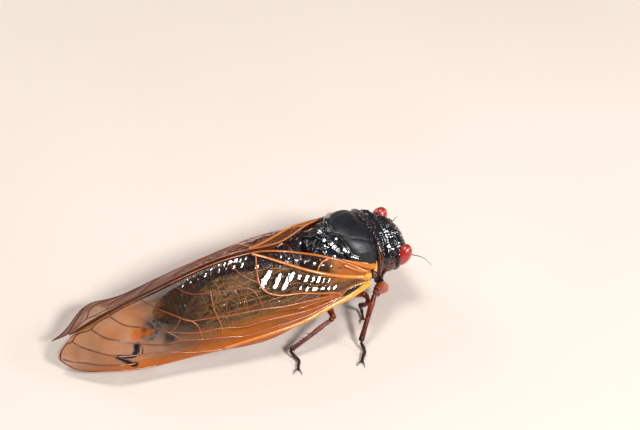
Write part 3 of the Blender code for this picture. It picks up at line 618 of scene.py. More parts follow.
def faceted(rings, places):
    """Rings with small flat facets cut into their upper side, turned to FACET_WAY, alike on both sides.

    A facet is the plane through the surface's own point over its place: points within its radius
    move to that plane along their normals.
    """
    normals = normals_of(rings)
    moved = rings.copy()
    hidden = FAR * (normals[..., 2] < 0.1)
    for side in (-1.0, 1.0):
        way = np.array(FACET_WAY) * (1.0, -side, 1.0)
        for x, beside, radius in places:
            away = np.hypot(rings[..., 0] - x, rings[..., 1] - side * beside) + hidden
            centre = rings[np.unravel_index(away.argmin(), away.shape)]
            share = unit((radius - np.linalg.norm(rings - centre, axis=-1)) / FACET_EDGE)
            height = (centre - rings) @ way / np.maximum(normals @ way, 0.3)
            height = np.clip(height, -FACET_DEPTH, FACET_DEPTH)
            moved = np.where(share[..., None] > 0.0, rings + normals * (height * share)[..., None], moved)
    return moved


def near_line(points, line):
    """Each point's distance from a line of points, in whatever plane both are given."""
    line = np.asarray(line)
    flat = points.reshape(-1, points.shape[-1])
    best = np.full(len(flat), FAR)
    for start, end in zip(line[:-1], line[1:]):
        span = end - start
        share = unit((flat - start) @ span / (span @ span + TINY))
        best = np.minimum(best, np.linalg.norm(flat - start - share[:, None] * span, axis=1))
    return best.reshape(points.shape[:-1])


def bumps(points, size, seed):
    """A smooth uneven field between about -1 and 1: sines that run in seeded directions."""
    draw = np.random.default_rng(seed)
    total = np.zeros(points.shape[:-1])
    for _ in range(BUMP_WAVES):
        way = draw.normal(size=points.shape[-1])
        way *= 2.0 * np.pi / size * draw.uniform(0.6, 1.5) / np.linalg.norm(way)
        total += np.sin(points @ way + draw.uniform(0.0, 2.0 * np.pi))
    return total / math.sqrt(BUMP_WAVES)


def unit(value):
    """Held between 0 and 1."""
    return np.clip(value, 0.0, 1.0)


def bell(distance, width):
    """1 at no distance, falling to 0 beyond a few widths."""
    return np.exp(-(distance / width) ** 2)


# Materials

class Paint:
    """One procedural material, built node by node around a Principled shader."""

    def __init__(self, name):
        self.material = bpy.data.materials.new(name)
        self.material.use_nodes = True
        self.tree = self.material.node_tree
        self.shader = self.tree.nodes["Principled BSDF"]
        coordinates = self.tree.nodes.new("ShaderNodeTexCoord")
        self.place = self.add("ShaderNodeVectorMath", {"operation": "SCALE"},
                              Vector=coordinates.outputs["Object"], Scale=1.0 / MM).outputs[0]

    def add(self, kind, settings=None, **sockets):
        """A node with its settings and its sockets, each a value or another node's output."""
        node = self.tree.nodes.new(kind)
        for name, value in (settings or {}).items():
            setattr(node, name, value)
        for name, value in sockets.items():
            self.plug(node, name, value)
        return node

    def plug(self, node, name, value):
        """Link a socket to an output, or set its value. Numbered sockets are named like s0, s1."""
        socket = node.inputs[int(name[1:])] if name[0] == "s" and name[1:].isdigit() else node.inputs[name]
        if isinstance(value, bpy.types.NodeSocket):
            self.tree.links.new(value, socket)
        else:
            socket.default_value = value

    def surface(self, **sockets):
        """Set the shader's own sockets, with spaces for underscores."""
        for name, value in sockets.items():
            self.plug(self.shader, name.replace("_", " "), value)

    def noise(self, size, detail, roughness=0.55, distortion=0.0):
        """Noise with cells of about the given size in millimetres."""
        return self.add("ShaderNodeTexNoise", Vector=self.place, Scale=1.0 / size, Detail=detail,
                        Roughness=roughness, Distortion=distortion).outputs["Fac"]

    def cells(self, size, feature="F1"):
        """Rounded cells of about the given size in millimetres."""
        return self.add("ShaderNodeTexVoronoi", {"feature": feature}, Vector=self.place,
                        Scale=1.0 / size).outputs["Distance"]

    def value(self, name):
        """A value that the mesh carries at each point."""
        return self.add("ShaderNodeAttribute", {"attribute_name": name}).outputs["Fac"]

    def math(self, operation, first, second):
        """A sum, product or the like of two values."""
        return self.add("ShaderNodeMath", {"operation": operation}, s0=first, s1=second).outputs[0]

    def spread(self, value, low, high, to_low=0.0, to_high=1.0):
        """Map a value's range on to another, held at its ends."""
        return self.add("ShaderNodeMapRange", {"interpolation_type": "SMOOTHSTEP"}, Value=value,
                        s1=low, s2=high, s3=to_low, s4=to_high).outputs[0]

    def mottle(self, size, detail, low, high, to_low=0.0, to_high=1.0):
        """Noise spread between two values."""
        return self.spread(self.noise(size, detail), low, high, to_low, to_high)

    def mix(self, share, first, second):
        """A colour between two, by a share."""
        node = self.tree.nodes.new("ShaderNodeMix")
        node.data_type = "RGBA"
        for socket, value in ((node.inputs[0], share), (node.inputs[6], first), (node.inputs[7], second)):
            if isinstance(value, bpy.types.NodeSocket):
                self.tree.links.new(value, socket)
            else:
                socket.default_value = value if isinstance(value, float) else (*value[:3], 1.0)
        return node.outputs[2]

    def bump(self, height, millimetres, normal=None):
        """Roughen the surface by a height of up to so many millimetres."""
        node = self.add("ShaderNodeBump", Height=height, Strength=1.0, Distance=millimetres * MM)
        if normal is not None:
            self.plug(node, "Normal", normal)
        return node.outputs[0]


def dimmed(colour, share):
    """A colour at a share of its strength."""
    return [share * channel for channel in colour]


def shell_paint(name, colours, wrinkle, pits, roughness):
    """Cuticle: near black with a blue-grey bloom, maroon and tan where the mesh says so.

    The mesh carries rust, tan and satin shares. Wrinkles and pits are so many millimetres high.
    """
    paint = Paint(name)
    dark = paint.mix(paint.mottle(1.6, 4.0, 0.35, 0.75), colours.shell, colours.bloom)
    mottled = paint.mix(paint.mottle(0.5, 3.0, 0.3, 0.7), colours.maroon, dimmed(colours.maroon, 0.55))
    worn = paint.mix(paint.value("rust"), dark, mottled)
    paint.surface(Base_Color=paint.mix(paint.value("tan"), worn, colours.tan))
    satin = paint.value("satin")
    uneven = paint.mottle(0.35, 5.0, 0.25, 0.8, roughness * 0.7, roughness * 1.7)
    paint.surface(Roughness=paint.math("ADD", uneven, paint.math("MULTIPLY", satin, 0.26)))
    paint.surface(Coat_Weight=paint.math("MULTIPLY", paint.math("SUBTRACT", 1.0, satin), 0.4))
    paint.surface(Specular_IOR_Level=0.5, IOR=CUTICLE_IOR, Coat_Roughness=COAT_ROUGHNESS)
    rough = paint.bump(paint.noise(0.16, 6.0, 0.65), wrinkle)
    paint.surface(Normal=paint.bump(paint.spread(paint.cells(0.34), 0.0, 0.45), pits, rough))
    return paint.material


def eye_paint(colours):
    """Compound eye: clear red over a darker ground, with fine facets under a gloss coat."""
    paint = Paint("compound_eye")
    ground = paint.mix(paint.mottle(0.7, 2.0, 0.3, 0.7), colours.eye, dimmed(colours.eye, 0.62))
    facets = paint.cells(0.055)
    paint.surface(Base_Color=paint.mix(paint.spread(facets, 0.15, 0.6), ground, dimmed(colours.eye, 0.45)))
    paint.surface(Roughness=0.22, Specular_IOR_Level=0.6, IOR=CUTICLE_IOR)
    paint.surface(Coat_Weight=0.9, Coat_Roughness=COAT_ROUGHNESS)
    paint.surface(Subsurface_Weight=0.25, Subsurface_Radius=(1.0, 0.2, 0.1), Subsurface_Scale=0.4 * MM)
    paint.surface(Normal=paint.bump(facets, 0.012))
    return paint.material


def leg_paint(colours):
    """Leg cuticle: orange-brown to maroon and almost black, by the tone that the mesh carries."""
    paint = Paint("leg_cuticle")
    uneven = paint.math("ADD", paint.value("tone"), paint.mottle(0.45, 4.0, 0.2, 0.8, -0.16, 0.16))
    light = paint.mix(paint.spread(uneven, 0.0, 0.5), colours.leg, colours.maroon)
    paint.surface(Base_Color=paint.mix(paint.spread(uneven, 0.5, 1.0), light, colours.shell))
    paint.surface(Roughness=paint.mottle(0.3, 3.0, 0.3, 0.7, 0.22, 0.42))
    paint.surface(Specular_IOR_Level=0.35, Coat_Weight=0.15, Coat_Roughness=0.12)
    paint.surface(Normal=paint.bump(paint.noise(0.12, 5.0, 0.6), 0.02))
    return paint.material


def vein_paint(colours):
    """Veins: yellow by the body, then orange, red-brown and nearly black at the tip, glossy."""
    paint = Paint("wing_vein")
    uneven = paint.math("ADD", paint.value("tone"), paint.mottle(0.9, 3.0, 0.2, 0.8, -0.08, 0.08))
    base = paint.mix(paint.spread(uneven, 0.0, 0.33), colours.vein_base, colours.vein_middle)
    outer = paint.mix(paint.spread(uneven, 0.33, 0.66), base, colours.vein_outer)
    paint.surface(Base_Color=paint.mix(paint.spread(uneven, 0.66, 1.0), outer, colours.vein_tip))
    paint.surface(Roughness=0.22, Specular_IOR_Level=0.55, Coat_Weight=0.4, Coat_Roughness=COAT_ROUGHNESS)
    paint.surface(Normal=paint.bump(paint.noise(0.2, 4.0), 0.02))
    return paint.material


def membrane_paint(name, colours, crinkle, net=0.0):
    """Wing membrane: clear film that crinkles, amber or stained black where the mesh says so.

    The mesh carries four shares: amber warms the film, smoke stains it black and along the ridge
    darkens it as painted shade, gloss is how much of the bare film shows, and shade is how far it
    turns to the painted shade of the dark body under it. It shows more at a glancing angle. A net of
    pale lines, painted glints along the crinkled folds, may cross it.
    """
    paint = Paint(name)
    smoke, shade = paint.value("smoke"), paint.value("shade")
    plain = colours.net if net else colours.film
    film = paint.mix(paint.mottle(1.2, 3.0, 0.3, 0.7), plain, dimmed(plain, 0.7))
    tinted = paint.mix(paint.value("amber"), film, colours.amber)
    # Painted shade: where the mesh marks it, the film turns to a dark colour that stands for the body and
    # its shadow under it.
    body = paint.mix(shade, tinted, colours.film_shade)
    cover = paint.math("MAXIMUM", paint.value("amber"), paint.math("MULTIPLY", smoke, 0.92))
    cover = paint.math("MAXIMUM", cover, paint.value("gloss"))
    # The pale net is painted glints along the hindwing's crinkled folds.
    if net:
        line = paint.spread(paint.cells(1.1, "DISTANCE_TO_EDGE"), 0.015, 0.05, 1.0, 0.0)
        body = paint.mix(line, body, colours.net)
        cover = paint.math("MAXIMUM", cover, paint.math("MULTIPLY", line, net))
    glance = paint.add("ShaderNodeLayerWeight", Blend=0.5).outputs["Facing"]
    turned = paint.spread(glance, 0.38, 0.78, 0.0, 0.95)
    cover = paint.math("MAXIMUM", cover, turned)
    body = paint.mix(turned, body, colours.film_edge)
    paint.surface(Base_Color=paint.mix(paint.spread(smoke, 0.0, 0.6), body, colours.shell), Alpha=cover)
    paint.surface(Roughness=paint.math("MAXIMUM", paint.math("MULTIPLY", smoke, 0.55), 0.34))
    gleam = paint.spread(paint.value("gloss"), 0.15, 0.7)
    paint.surface(Specular_IOR_Level=0.08, IOR=CUTICLE_IOR, Coat_Weight=gleam, Coat_Roughness=0.05)
    folds = paint.noise(0.45, 4.0, 0.55, 0.8)
    bare = paint.spread(gleam, 0.0, 1.0, 1.0, 0.2)
    paint.surface(Normal=paint.bump(paint.math("MULTIPLY", folds, bare), crinkle))
    return paint.material


def floor_paint():
    """A plain pale floor, very slightly uneven."""
    paint = Paint("pale_floor")
    paint.surface(Base_Color=paint.mix(paint.mottle(60.0, 2.0, 0.3, 0.7), *FLOOR_COLOURS))
    paint.surface(Roughness=0.75, Specular_IOR_Level=0.2)
    return paint.material


# The body

def add_face(shape):
    """The face, an ellipsoid whose ribs are a cosine of the angle down round it, and the lip."""
    face = ball_rings(FACE_CENTRE, FACE_RADII, *FACE_MESH)
    out = (face - FACE_CENTRE) / FACE_RADII
    beside = unit(np.abs(out[..., 1]) * 3.0) * unit(out[..., 0])
    fall = FACE_RIBS * np.arctan2(-out[..., 2], out[..., 0])
    ribs = 0.09 * beside * np.cos(fall + 2.2 * np.abs(out[..., 1]))
    ribs -= 0.12 * bell(out[..., 1], 0.10) * out[..., 0]
    rust = np.clip(0.25 + 0.4 * beside * np.cos(fall), 0.0, 0.6)
    shape.grid(face + out * ribs[..., None], rust=rust, tan=0.0)
    shape.grid(ball_rings(*LIP_BALL), rust=0.5, tan=0.0)


def build_head(colours):
    """Head capsule on ovals along X, with the cheeks, brows and antennal ledges as ellipsoids.

    Its furrows and ridges are bell curves of the distance, seen from above, from lines on the head.
    """
    shape = Shape()
    rings = section_rings(HEAD_STATIONS, *HEAD_MESH)
    z, plan = rings[..., 2], rings[..., :2]
    crown = near_line(plan, ((4.3, 0.0), (6.3, 0.0)))
    cheek = near_line(plan, ((5.0, 1.5), (6.2, 2.0))) + near_line(plan, ((5.0, -1.5), (6.2, -2.0)))
    relief = -0.10 * bell(crown, 0.10) + 0.10 * bell(crown - 0.55, 0.25) - 0.08 * bell(cheek - 3.0, 0.2)
    relief += 0.010 * bumps(rings, 0.6, 3) + 0.014 * bumps(rings, 0.20, 4)
    relief *= np.clip((z - 6.0) / 1.2, 0.2, 1.0)
    rings = faceted(raised(rings, relief), scattered(24, (4.8, 6.2), (0.6, 2.8), (0.09, 0.16), 81))
    shape.grid(rings, rust=np.clip((6.1 - z) / 2.0, 0.0, 0.35), tan=0.0)
    add_face(shape)
    for side in (-1.0, 1.0):
        for place, size, rust in HEAD_BALLS:
            shape.grid(ball_rings(on_side(place, side), size), rust=rust, tan=0.0)
        for place, size in BROW_BALLS:
            brow = ball_rings(on_side(place, side), size, 60, 80)
            shape.grid(brow + 0.02 * bumps(brow, 0.3, 7)[..., None], rust=0.1, tan=0.0)
    paint = shell_paint("head_shell", colours, wrinkle=0.015, pits=0.012, roughness=0.10)
    shape.build("head_shell", paint, "shell_black", ["head"])
    ocelli = Shape()
    for place in OCELLI:
        ocelli.grid(ball_rings(place, OCELLUS_RADIUS, 14, 18))
    ocelli.build("ocelli", eye_paint(colours), "eye_red")


def build_eyes(colours):
    """Compound eyes: ellipsoids from the frame's boxes, leaning forward and reaching under the temples."""
    for _, word in SIDES:
        low, high = (np.array(corner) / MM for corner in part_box("eye_" + word))
        centre, radii = (low + high) / 2.0 - SHIFT, (high - low) / 2.0
        radii[0] = math.sqrt(radii[0] ** 2 - (EYE_LEAN * radii[2]) ** 2) + EYE_REACH
        eye = ball_rings(centre - (EYE_REACH, 0.0, 0.0), radii, *EYE_MESH)
        eye[..., 0] += EYE_LEAN * (eye[..., 2] - centre[2])
        shape = Shape()
        shape.grid(eye)
        shape.build("compound_eye_" + word, eye_paint(colours), "eye_red", ["eye_" + word])


def build_feelers(colours):
    """Antennae: two stout base joints, then a bristle that thins along a curve."""
    paint = leg_paint(colours)
    for side, word in SIDES:
        root = np.array((6.75, side * 2.25, 5.85))
        end = np.array(FEELER_TIPS[word])
        shape = Shape()
        bend = (root + end) / 2.0 + (0.25, side * 0.1, 0.35)
        path = smooth_line((root, root + (bend - root) * 0.45, bend, end), 60)
        place = np.linspace(0.0, 1.0, 60)
        thick = np.interp(place, (0.0, 0.08, 0.1, 0.2, 0.22, 1.0), (0.19, 0.19, 0.15, 0.13, 0.055, 0.02))
        joints = 1.0 + 0.16 * np.cos(place * 60.0) * (place > 0.22)
        shape.grid(tube_rings(path, thick * joints, 12), tone=unit(0.9 - 0.35 * place)[:, None])
        shape.build("feeler_" + word, paint, "leg_dark", ["antenna_" + word])


def build_beak(colours):
    """The beak, folded back under the breast: a tube along a spline that swells at three joints."""
    path = smooth_line(BEAK_LINE, 80)
    place = np.linspace(0.0, 1.0, 80)
    radii = np.interp(place, (0.0, 0.3, 1.0), (0.38, 0.33, 0.16)) * (1.0 + 0.06 * np.cos(place * 19.0))
    rings = tube_rings(path, rounded_ends(radii, 0.06), 20, (0.0, 1.0, 0.0))
    shape = Shape()
    shape.grid(rings, tone=np.clip(place * 1.3, 0.2, 1.0)[:, None])
    shape.build("beak", leg_paint(colours), "leg_maroon", ["rostrum"])


def build_collar(colours):
    """Pronotum: ovals along X with furrows, a cross ridge, a middle strip and a rolled hind edge.

    Each is a bell curve of the distance from its line, seen from above, and adds up along the normal.
    """
    rings = section_rings(COLLAR_STATIONS, *COLLAR_MESH, 0.9)
    x, y, z = np.moveaxis(rings, -1, 0)
    plan = np.stack([x, np.abs(y) + 0.35 * np.clip(7.5 - z, 0.0, 3.0)], axis=-1)
    ridge = near_line(plan, ((3.95, 0.0), (3.86, 1.55), (3.54, 3.18), (3.3, 4.3)))
    front = near_line(plan, ((4.5, 0.9), (4.3, 1.7), (3.95, 2.9), (3.7, 4.2)))
    back = near_line(plan, ((3.1, 0.7), (3.35, 1.6), (3.15, 2.9), (2.95, 4.0)))
    strip = np.abs(y)
    relief = 0.19 * bell(ridge, 0.28) - 0.10 * bell(ridge - 0.50, 0.16)
    relief = relief - 0.12 * bell(front, 0.15) - 0.14 * bell(back, 0.15)
    relief += 0.07 * bell(strip, 0.28) * (x > 2.8) - 0.06 * bell(strip, 0.07)
    relief += 0.06 * bell(x - 2.3, 0.12) - 0.14 * bell(x - 2.75, 0.12)
    relief += (0.022 * bumps(rings, 0.7, 5) + 0.012 * bumps(rings, 0.22, 6)) * (1.0 - bell(ridge, 0.34))
    side = unit((9.2 - z) / 1.2)
    rust = unit(side * bell(x - 2.5, 0.30) + unit((7.2 - z) / 0.8) + 0.25 * bell(x - 2.4, 0.15))
    tan = 0.7 * bell(x - 2.24, 0.035) * unit((9.5 - z) / 0.6) * unit((z - 7.2) / 0.6)
    shape = Shape()
    crest = smooth_line(((3.95, 0.1), (3.86, 1.55), (3.62, 2.9)), 16)
    facets = np.concatenate([
        np.column_stack([crest, np.full(len(crest), 0.15)]),
        scattered(10, (3.9, 4.7), (0.6, 2.2), (0.10, 0.18), 82),
        scattered(8, (3.5, 4.4), (2.6, 3.4), (0.11, 0.19), 83),
    ])
    shape.grid(faceted(raised(rings, relief), facets), rust=rust, tan=tan)
    for side in (-1.0, 1.0):
        corner = ball_rings(on_side(COLLAR_BALL[0], side), COLLAR_BALL[1], 40, 50)
        shape.grid(corner, rust=1.0, tan=0.0)
    paint = shell_paint("collar_shell", colours, wrinkle=0.010, pits=0.004, roughness=0.10)
    shape.build("collar_shell", paint, "shell_black", ["pronotum"])


def shield_relief(rings):
    """The big dome's furrows, hind cross, side ridges and rolled edge, as heights along its normals.

    Each is a bell curve of the distance from its line, which is given from above, from the side or in
    space.
    """
    x, y, z = np.moveaxis(rings, -1, 0)
    plan = np.stack([x, np.abs(y)], axis=-1)
    solid = np.stack([x, np.abs(y), z], axis=-1)
    inner = near_line(plan, ((2.3, 0.75), (1.2, 0.95), (0.1, 0.75), (-0.6, 0.2)))
    outer = near_line(plan, ((2.3, 2.3), (1.0, 2.45), (-0.6, 2.0), (-1.9, 1.35)))
    relief = -0.035 * bell(inner, 0.16) - 0.05 * bell(outer, 0.18)
    front_arm = near_line(plan, ((-3.95, 0.0), (-2.7, 1.55)))
    hind_arm = near_line(plan, ((-3.95, 0.0), (-4.9, 1.1)))
    hollow = 0.14 * bell(y, 0.5) * bell(x + 3.1, 0.5)
    relief += 0.34 * bell(front_arm, 0.24) + 0.30 * bell(hind_arm, 0.24) - hollow
    loop = near_line(solid, ((-3.7, 0.9, 9.4), (-2.9, 0.75, 10.0), (-2.3, 1.2, 10.1), (-2.0, 1.9, 9.95),
                             (-1.65, 2.6, 9.45), (-1.2, 3.1, 8.75), (-0.4, 3.45, 8.5)))
    under = near_line(solid, ((-3.9, 1.3, 9.1), (-3.7, 1.9, 8.7), (-3.0, 2.5, 8.5), (-2.0, 3.1, 8.1)))
    relief += 0.24 * bell(loop, 0.26) - 0.08 * bell(loop - 0.46, 0.16) + 0.14 * bell(under, 0.20)
    profile = rings[..., ::2]
    brim = near_line(profile, ((1.7, 9.05), (0.6, 9.2), (-0.4, 9.22), (-0.9, 9.0)))
    relief += 0.03 * bell(brim, 0.14) + 0.05 * bell(np.hypot(x - 1.9, np.abs(y) - 2.0), 0.25)
    edge = near_line(profile, ((1.8, 7.75), (0.4, 7.9), (-1.2, 8.1), (-2.4, 8.3)))
    relief += 0.10 * bell(edge, 0.16)
    rear = unit((-1.9 - x - 0.3 * np.abs(y)) / 1.2)
    relief += rear * (0.04 * bumps(rings, 0.7, 11) + 0.012 * bumps(rings, 0.35, 12))
    relief += 0.004 * bumps(rings, 1.4, 13)
    return relief, edge, loop


def build_shield(colours):
    """Mesonotum: the black dome between the wings, with the raised cross behind it."""
    rings = section_rings(SHIELD_STATIONS, *SHIELD_MESH, 0.82)
    relief, edge, loop = shield_relief(rings)
    x, y, z = np.moveaxis(rings, -1, 0)
    rust = unit(0.9 * unit((7.7 - z) / 0.4) + 0.3 * bell(edge, 0.12))
    tan = unit((7.45 - z) / 0.3) * unit((x + 2.5) / 1.0)
    shape = Shape()
    satin = unit((x + 2.2 + 0.35 * np.abs(y)) / 0.8) * unit((loop - 0.35) / 0.2)
    middle_facets = scattered(26, (-3.4, -1.9), (-0.9, 1.2), (0.06, 0.13), 84)
    facets = np.concatenate([LOOP_FACETS, smooth_line(LOOP_LINE, 15), middle_facets])
    shape.grid(faceted(raised(rings, relief), facets), rust=rust, tan=tan, satin=satin)
    for side in (-1.0, 1.0):
        lobe = ball_rings(on_side(SHIELD_BALL[0], side), SHIELD_BALL[1], 60, 90)
        shape.grid(lobe + 0.05 * bumps(lobe, 0.7, 14)[..., None], rust=0.15, tan=0.0)
    paint = shell_paint("back_shield", colours, wrinkle=0.008, pits=0.004, roughness=0.17)
    shape.build("back_shield", paint, "shell_black", ["mesonotum"])


def build_breast(colours):
    """Side and under plates of the thorax: boxy ovals along X, and the drum covers as flat ellipsoids.

    The furrow above each leg is a bell curve of the distance from a line that leans with height.
    """
    rings = section_rings(BREAST_STATIONS, *BREAST_MESH, 0.72)
    x, z = rings[..., 0], rings[..., 2]
    relief = 0.04 * bumps(rings, 0.8, 21) + 0.015 * bumps(rings, 0.3, 22)
    for seam, slope in ((1.5, 0.25), (-0.9, 0.3), (-3.0, 0.25)):
        relief -= 0.22 * bell(x - seam - slope * (z - 4.0), 0.13)
    shape = Shape()
    brown = bell(x - 0.2, 0.8) * bell(z - 5.3, 0.8) + bell(x + 2.2, 0.7) * bell(z - 4.9, 0.7)
    shape.grid(raised(rings, relief), rust=np.clip(brown, 0.0, 0.9), tan=0.0)
    paint = shell_paint("breast_shell", colours, wrinkle=0.05, pits=0.04, roughness=0.24)
    shape.build("breast_shell", paint, "shell_black", ["thorax_underside"])
    for side, word in SIDES:
        cover = Shape()
        plate = ball_rings(on_side(DRUM_COVER[0], side), DRUM_COVER[1], 40, 60)
        plate[..., 2] += 0.02 * bumps(plate, 0.5, 23)
        cover.grid(plate, rust=np.clip((np.abs(plate[..., 1]) - 1.8) * 0.8, 0.1, 0.8), tan=0.0)
        cover.build("drum_cover_" + word, paint, "shell_black", ["operculum_" + word])


def build_abdomen(colours):
    """Abdomen: ovals along X whose radius falls as the root of 1 less a power of the way to the tip.

    Each ring swells with a power of the way along it and drops back at its hind edge. The back rises
    in a crown, a cube of the sine round the oval.
    """
    rows, columns = ABDOMEN_MESH
    share = np.linspace(0.0, 0.995, rows)[:, None]
    ring = share * ABDOMEN_RINGS
    part = ring - np.floor(ring)
    swell = 0.965 + 0.05 * part ** 0.7 - 0.05 * unit((part - 0.93) / 0.07)
    taper = np.sqrt(np.maximum(1.0 - share ** 2.8, 0.0005)) * swell
    turn = full_turn(columns)
    middle = 4.5 - 0.7 * share
    crown = ABDOMEN_CROWN * unit(1.25 - 1.1 * share) * unit(share / 0.06)
    rise = ABDOMEN_RISE + crown * np.abs(np.sin(turn)) ** 3
    reach = np.where(np.sin(turn) > 0.0, rise, ABDOMEN_DROP)
    x = ABDOMEN_FRONT - (ABDOMEN_FRONT - ABDOMEN_TIP) * share + 0.0 * turn
    y = ABDOMEN_HALF_WIDTH * taper * np.cos(turn)
    rings = np.stack([x, y, middle + reach * taper * np.sin(turn)], axis=-1)
    z = rings[..., 2]
    crinkle = bumps(rings * (2.0, 0.7, 0.7), 0.55, 31)
    relief = 0.022 * crinkle + 0.010 * bumps(rings, 0.26, 32)
    edge = unit((part - 0.86) / 0.1)
    # Tan on the highest crinkle crests is a painted sheen; tan along the rings' hind edges is their own
    # colour.
    gold_and_sheen = unit(crinkle - 0.9) * 0.5 + 0.6 * edge * unit(bumps(rings, 1.1, 33))
    shape = Shape()
    shape.grid(raised(rings, relief),
               rust=unit(edge * 0.7 + np.clip((3.0 - z) / 1.2, 0.0, 0.6)),
               tan=np.clip(0.5 * gold_and_sheen + 0.4 * edge * unit((3.6 - z) / 1.2), 0.0, 0.8))
    paint = shell_paint("abdomen_shell", colours, wrinkle=0.03, pits=0.03, roughness=0.26)
    shape.build("abdomen_shell", paint, "shell_black", ["abdomen"])


# The wings

def vault(along, across):
    """The roof of the folded right wing.

    along is the distance behind the body's middle. across runs from 0 at the hind margin to 1 at
    the costal edge, on the straight line between the two, pushed out by a parabola. Over the
    abdomen and behind it the hind margins bend in to meet more closely than in the thicker solids.
    """
    along, across = np.broadcast_arrays(np.asarray(along, float), np.asarray(across, float))
    margins = ROOF(along)
    hind_y, hind_z, costal_y, costal_z, bulge = np.moveaxis(margins, -1, 0)
    out, down = costal_y - hind_y, costal_z - hind_z
    push = bulge * 4.0 * across * (1.0 - across) / np.hypot(out, down)
    closing = RIDGE_CLOSING * unit((along - 6.5) / 4.0) * np.clip(1.0 - across, 0.0, 1.1) ** 3
    y = hind_y + out * across - down * push - closing
    return np.stack([-along, -y, hind_z + down * across + out * push], axis=-1)


ROOF = spline(-FOREWING_STATIONS[:, 0], FOREWING_STATIONS[:, 1:])


def vault_normal(along, across):
    """Unit normal of the roof, away from the line inside it."""
    step = 0.01
    span = vault(along + step, across) - vault(along - step, across)
    rise = vault(along, across + step) - vault(along, across - step)
    normal = np.cross(span, rise)
    normal /= np.linalg.norm(normal, axis=-1, keepdims=True)
    from_axis = vault(along, across) * (0.0, 1.0, 1.0) - (0.0, 0.0, ROOF_AXIS_HEIGHT)
    return normal * np.sign((normal * from_axis).sum(axis=-1, keepdims=True))


def arc_across(along):
    """The roof's length across at each place along it."""
    line = vault(np.asarray(along)[..., None], np.linspace(0.0, 1.0, 16))
    return np.linalg.norm(np.diff(line, axis=-2), axis=-1).sum(axis=-1)


def forewing_grid(rows, columns):
    """Places over the whole forewing: rows from root to rounded tip, columns from hind to costa.

    Both are closer together where the film stands in small panes.
    """
    straight = np.interp(np.linspace(0.0, 1.0, rows - FOREWING_TIP_ROWS), (0.0, 0.07, 0.86, 1.0),
                         (FOREWING_ROOT, 3.2, 20.0, FOREWING_ROUNDING))
    turn = np.linspace(0.0, 0.5 * np.pi, FOREWING_TIP_ROWS + 1)[1:]
    rounded = FOREWING_ROUNDING + (FOREWING_TIP - FOREWING_ROUNDING) * np.sin(turn)
    along = np.concatenate([straight, rounded])
    closing = np.concatenate([0.0 * straight, 0.5 - 0.5 * np.cos(turn)]) * 0.998
    share = np.interp(np.linspace(0.0, 1.0, columns), (0.0, 0.82, 1.0), (0.0, 0.66, 1.0))
    across = closing[:, None] + (1.0 - 2.0 * closing[:, None]) * share
    return along[:, None] + 0.0 * across, across


def hindwing_grid(rows, columns):
    """Places over the folded hindwing: a rounded blade under the forewing."""
    turn = np.linspace(0.0, 0.5 * np.pi, rows // 2)
    span = HINDWING_TIP - HINDWING_ROOT
    reach = 0.3 * np.sin(turn)
    along = HINDWING_ROOT + span * np.concatenate([reach, 0.7 + reach])
    low = np.concatenate([0.46 - 0.30 * np.sin(turn), 0.16 + 0.35 * (1.0 - np.cos(turn))])
    high = np.concatenate([0.56 + 0.26 * np.sin(turn), 0.82 - 0.30 * (1.0 - np.cos(turn))])
    keep = np.concatenate([[True], np.diff(along) > 1e-6])
    share = np.linspace(0.0, 1.0, columns)
    across = low[keep, None] + (high - low)[keep, None] * share
    return along[keep, None] + 0.0 * across, across


def flat_places(along, across):
    """Places in the flattened wing, in millimetres along and across."""
    return np.stack([along, across * arc_across(along)], axis=-1)


def vein_lines(veins):
    """Each vein's points, smoothed, as places along and across."""
    lines = []
    for vein in veins:
        raw = np.array(vein[4])
        flat = flat_places(raw[:, 0], raw[:, 1])
        count = max(int(np.linalg.norm(np.diff(flat, axis=0), axis=1).sum() / VEIN_STEP), 8)
        line = smooth_line(flat, count)
        lines.append((vein, line[:, 0], line[:, 1] / arc_across(line[:, 0])))
    return lines


def wing_veins(veins, depth):
    """Veins as tubes a little wider than high, that lie in the membrane and stand out of it.

    Their radius goes from one end's to the other's with a power of the way, in slight waves.
    """
    shape = Shape()
    for (start, end, tone_start, tone_end, _), along, across in vein_lines(veins):
        normal = vault_normal(along, across)
        path = vault(along, across) - normal * depth
        place = np.linspace(0.0, 1.0, len(path))
        radii = start + (end - start) * place ** 0.7
        radii = radii * (1.0 + 0.07 * np.sin(along * 5.0) * np.sin(along * 2.3))
        tone = tone_start + (tone_end - tone_start) * place
        shape.grid(tube_rings(path, radii, 10, normal, 0.8), tone=tone[:, None])
    return shape


def vein_distance(flat, veins):
    """How far each place lies from the nearest vein, in millimetres of the flattened wing."""
    best = np.full(flat.shape[:-1], FAR)
    for _, along, across in vein_lines(veins):
        line = flat_places(along, across)[::4]
        best = np.minimum(best, near_line(flat, line))
    return best


def patch(flat, along, across, reach, seed):
    """1 within a reach of a place on the flattened wing, falling off sharply at an uneven outline."""
    centre = flat_places(np.array(along), np.array(across))
    uneven = 1.0 + 0.22 * bumps(flat, 1.4, seed)
    return np.exp(-(np.linalg.norm(flat - centre, axis=-1) * uneven / reach) ** 4)


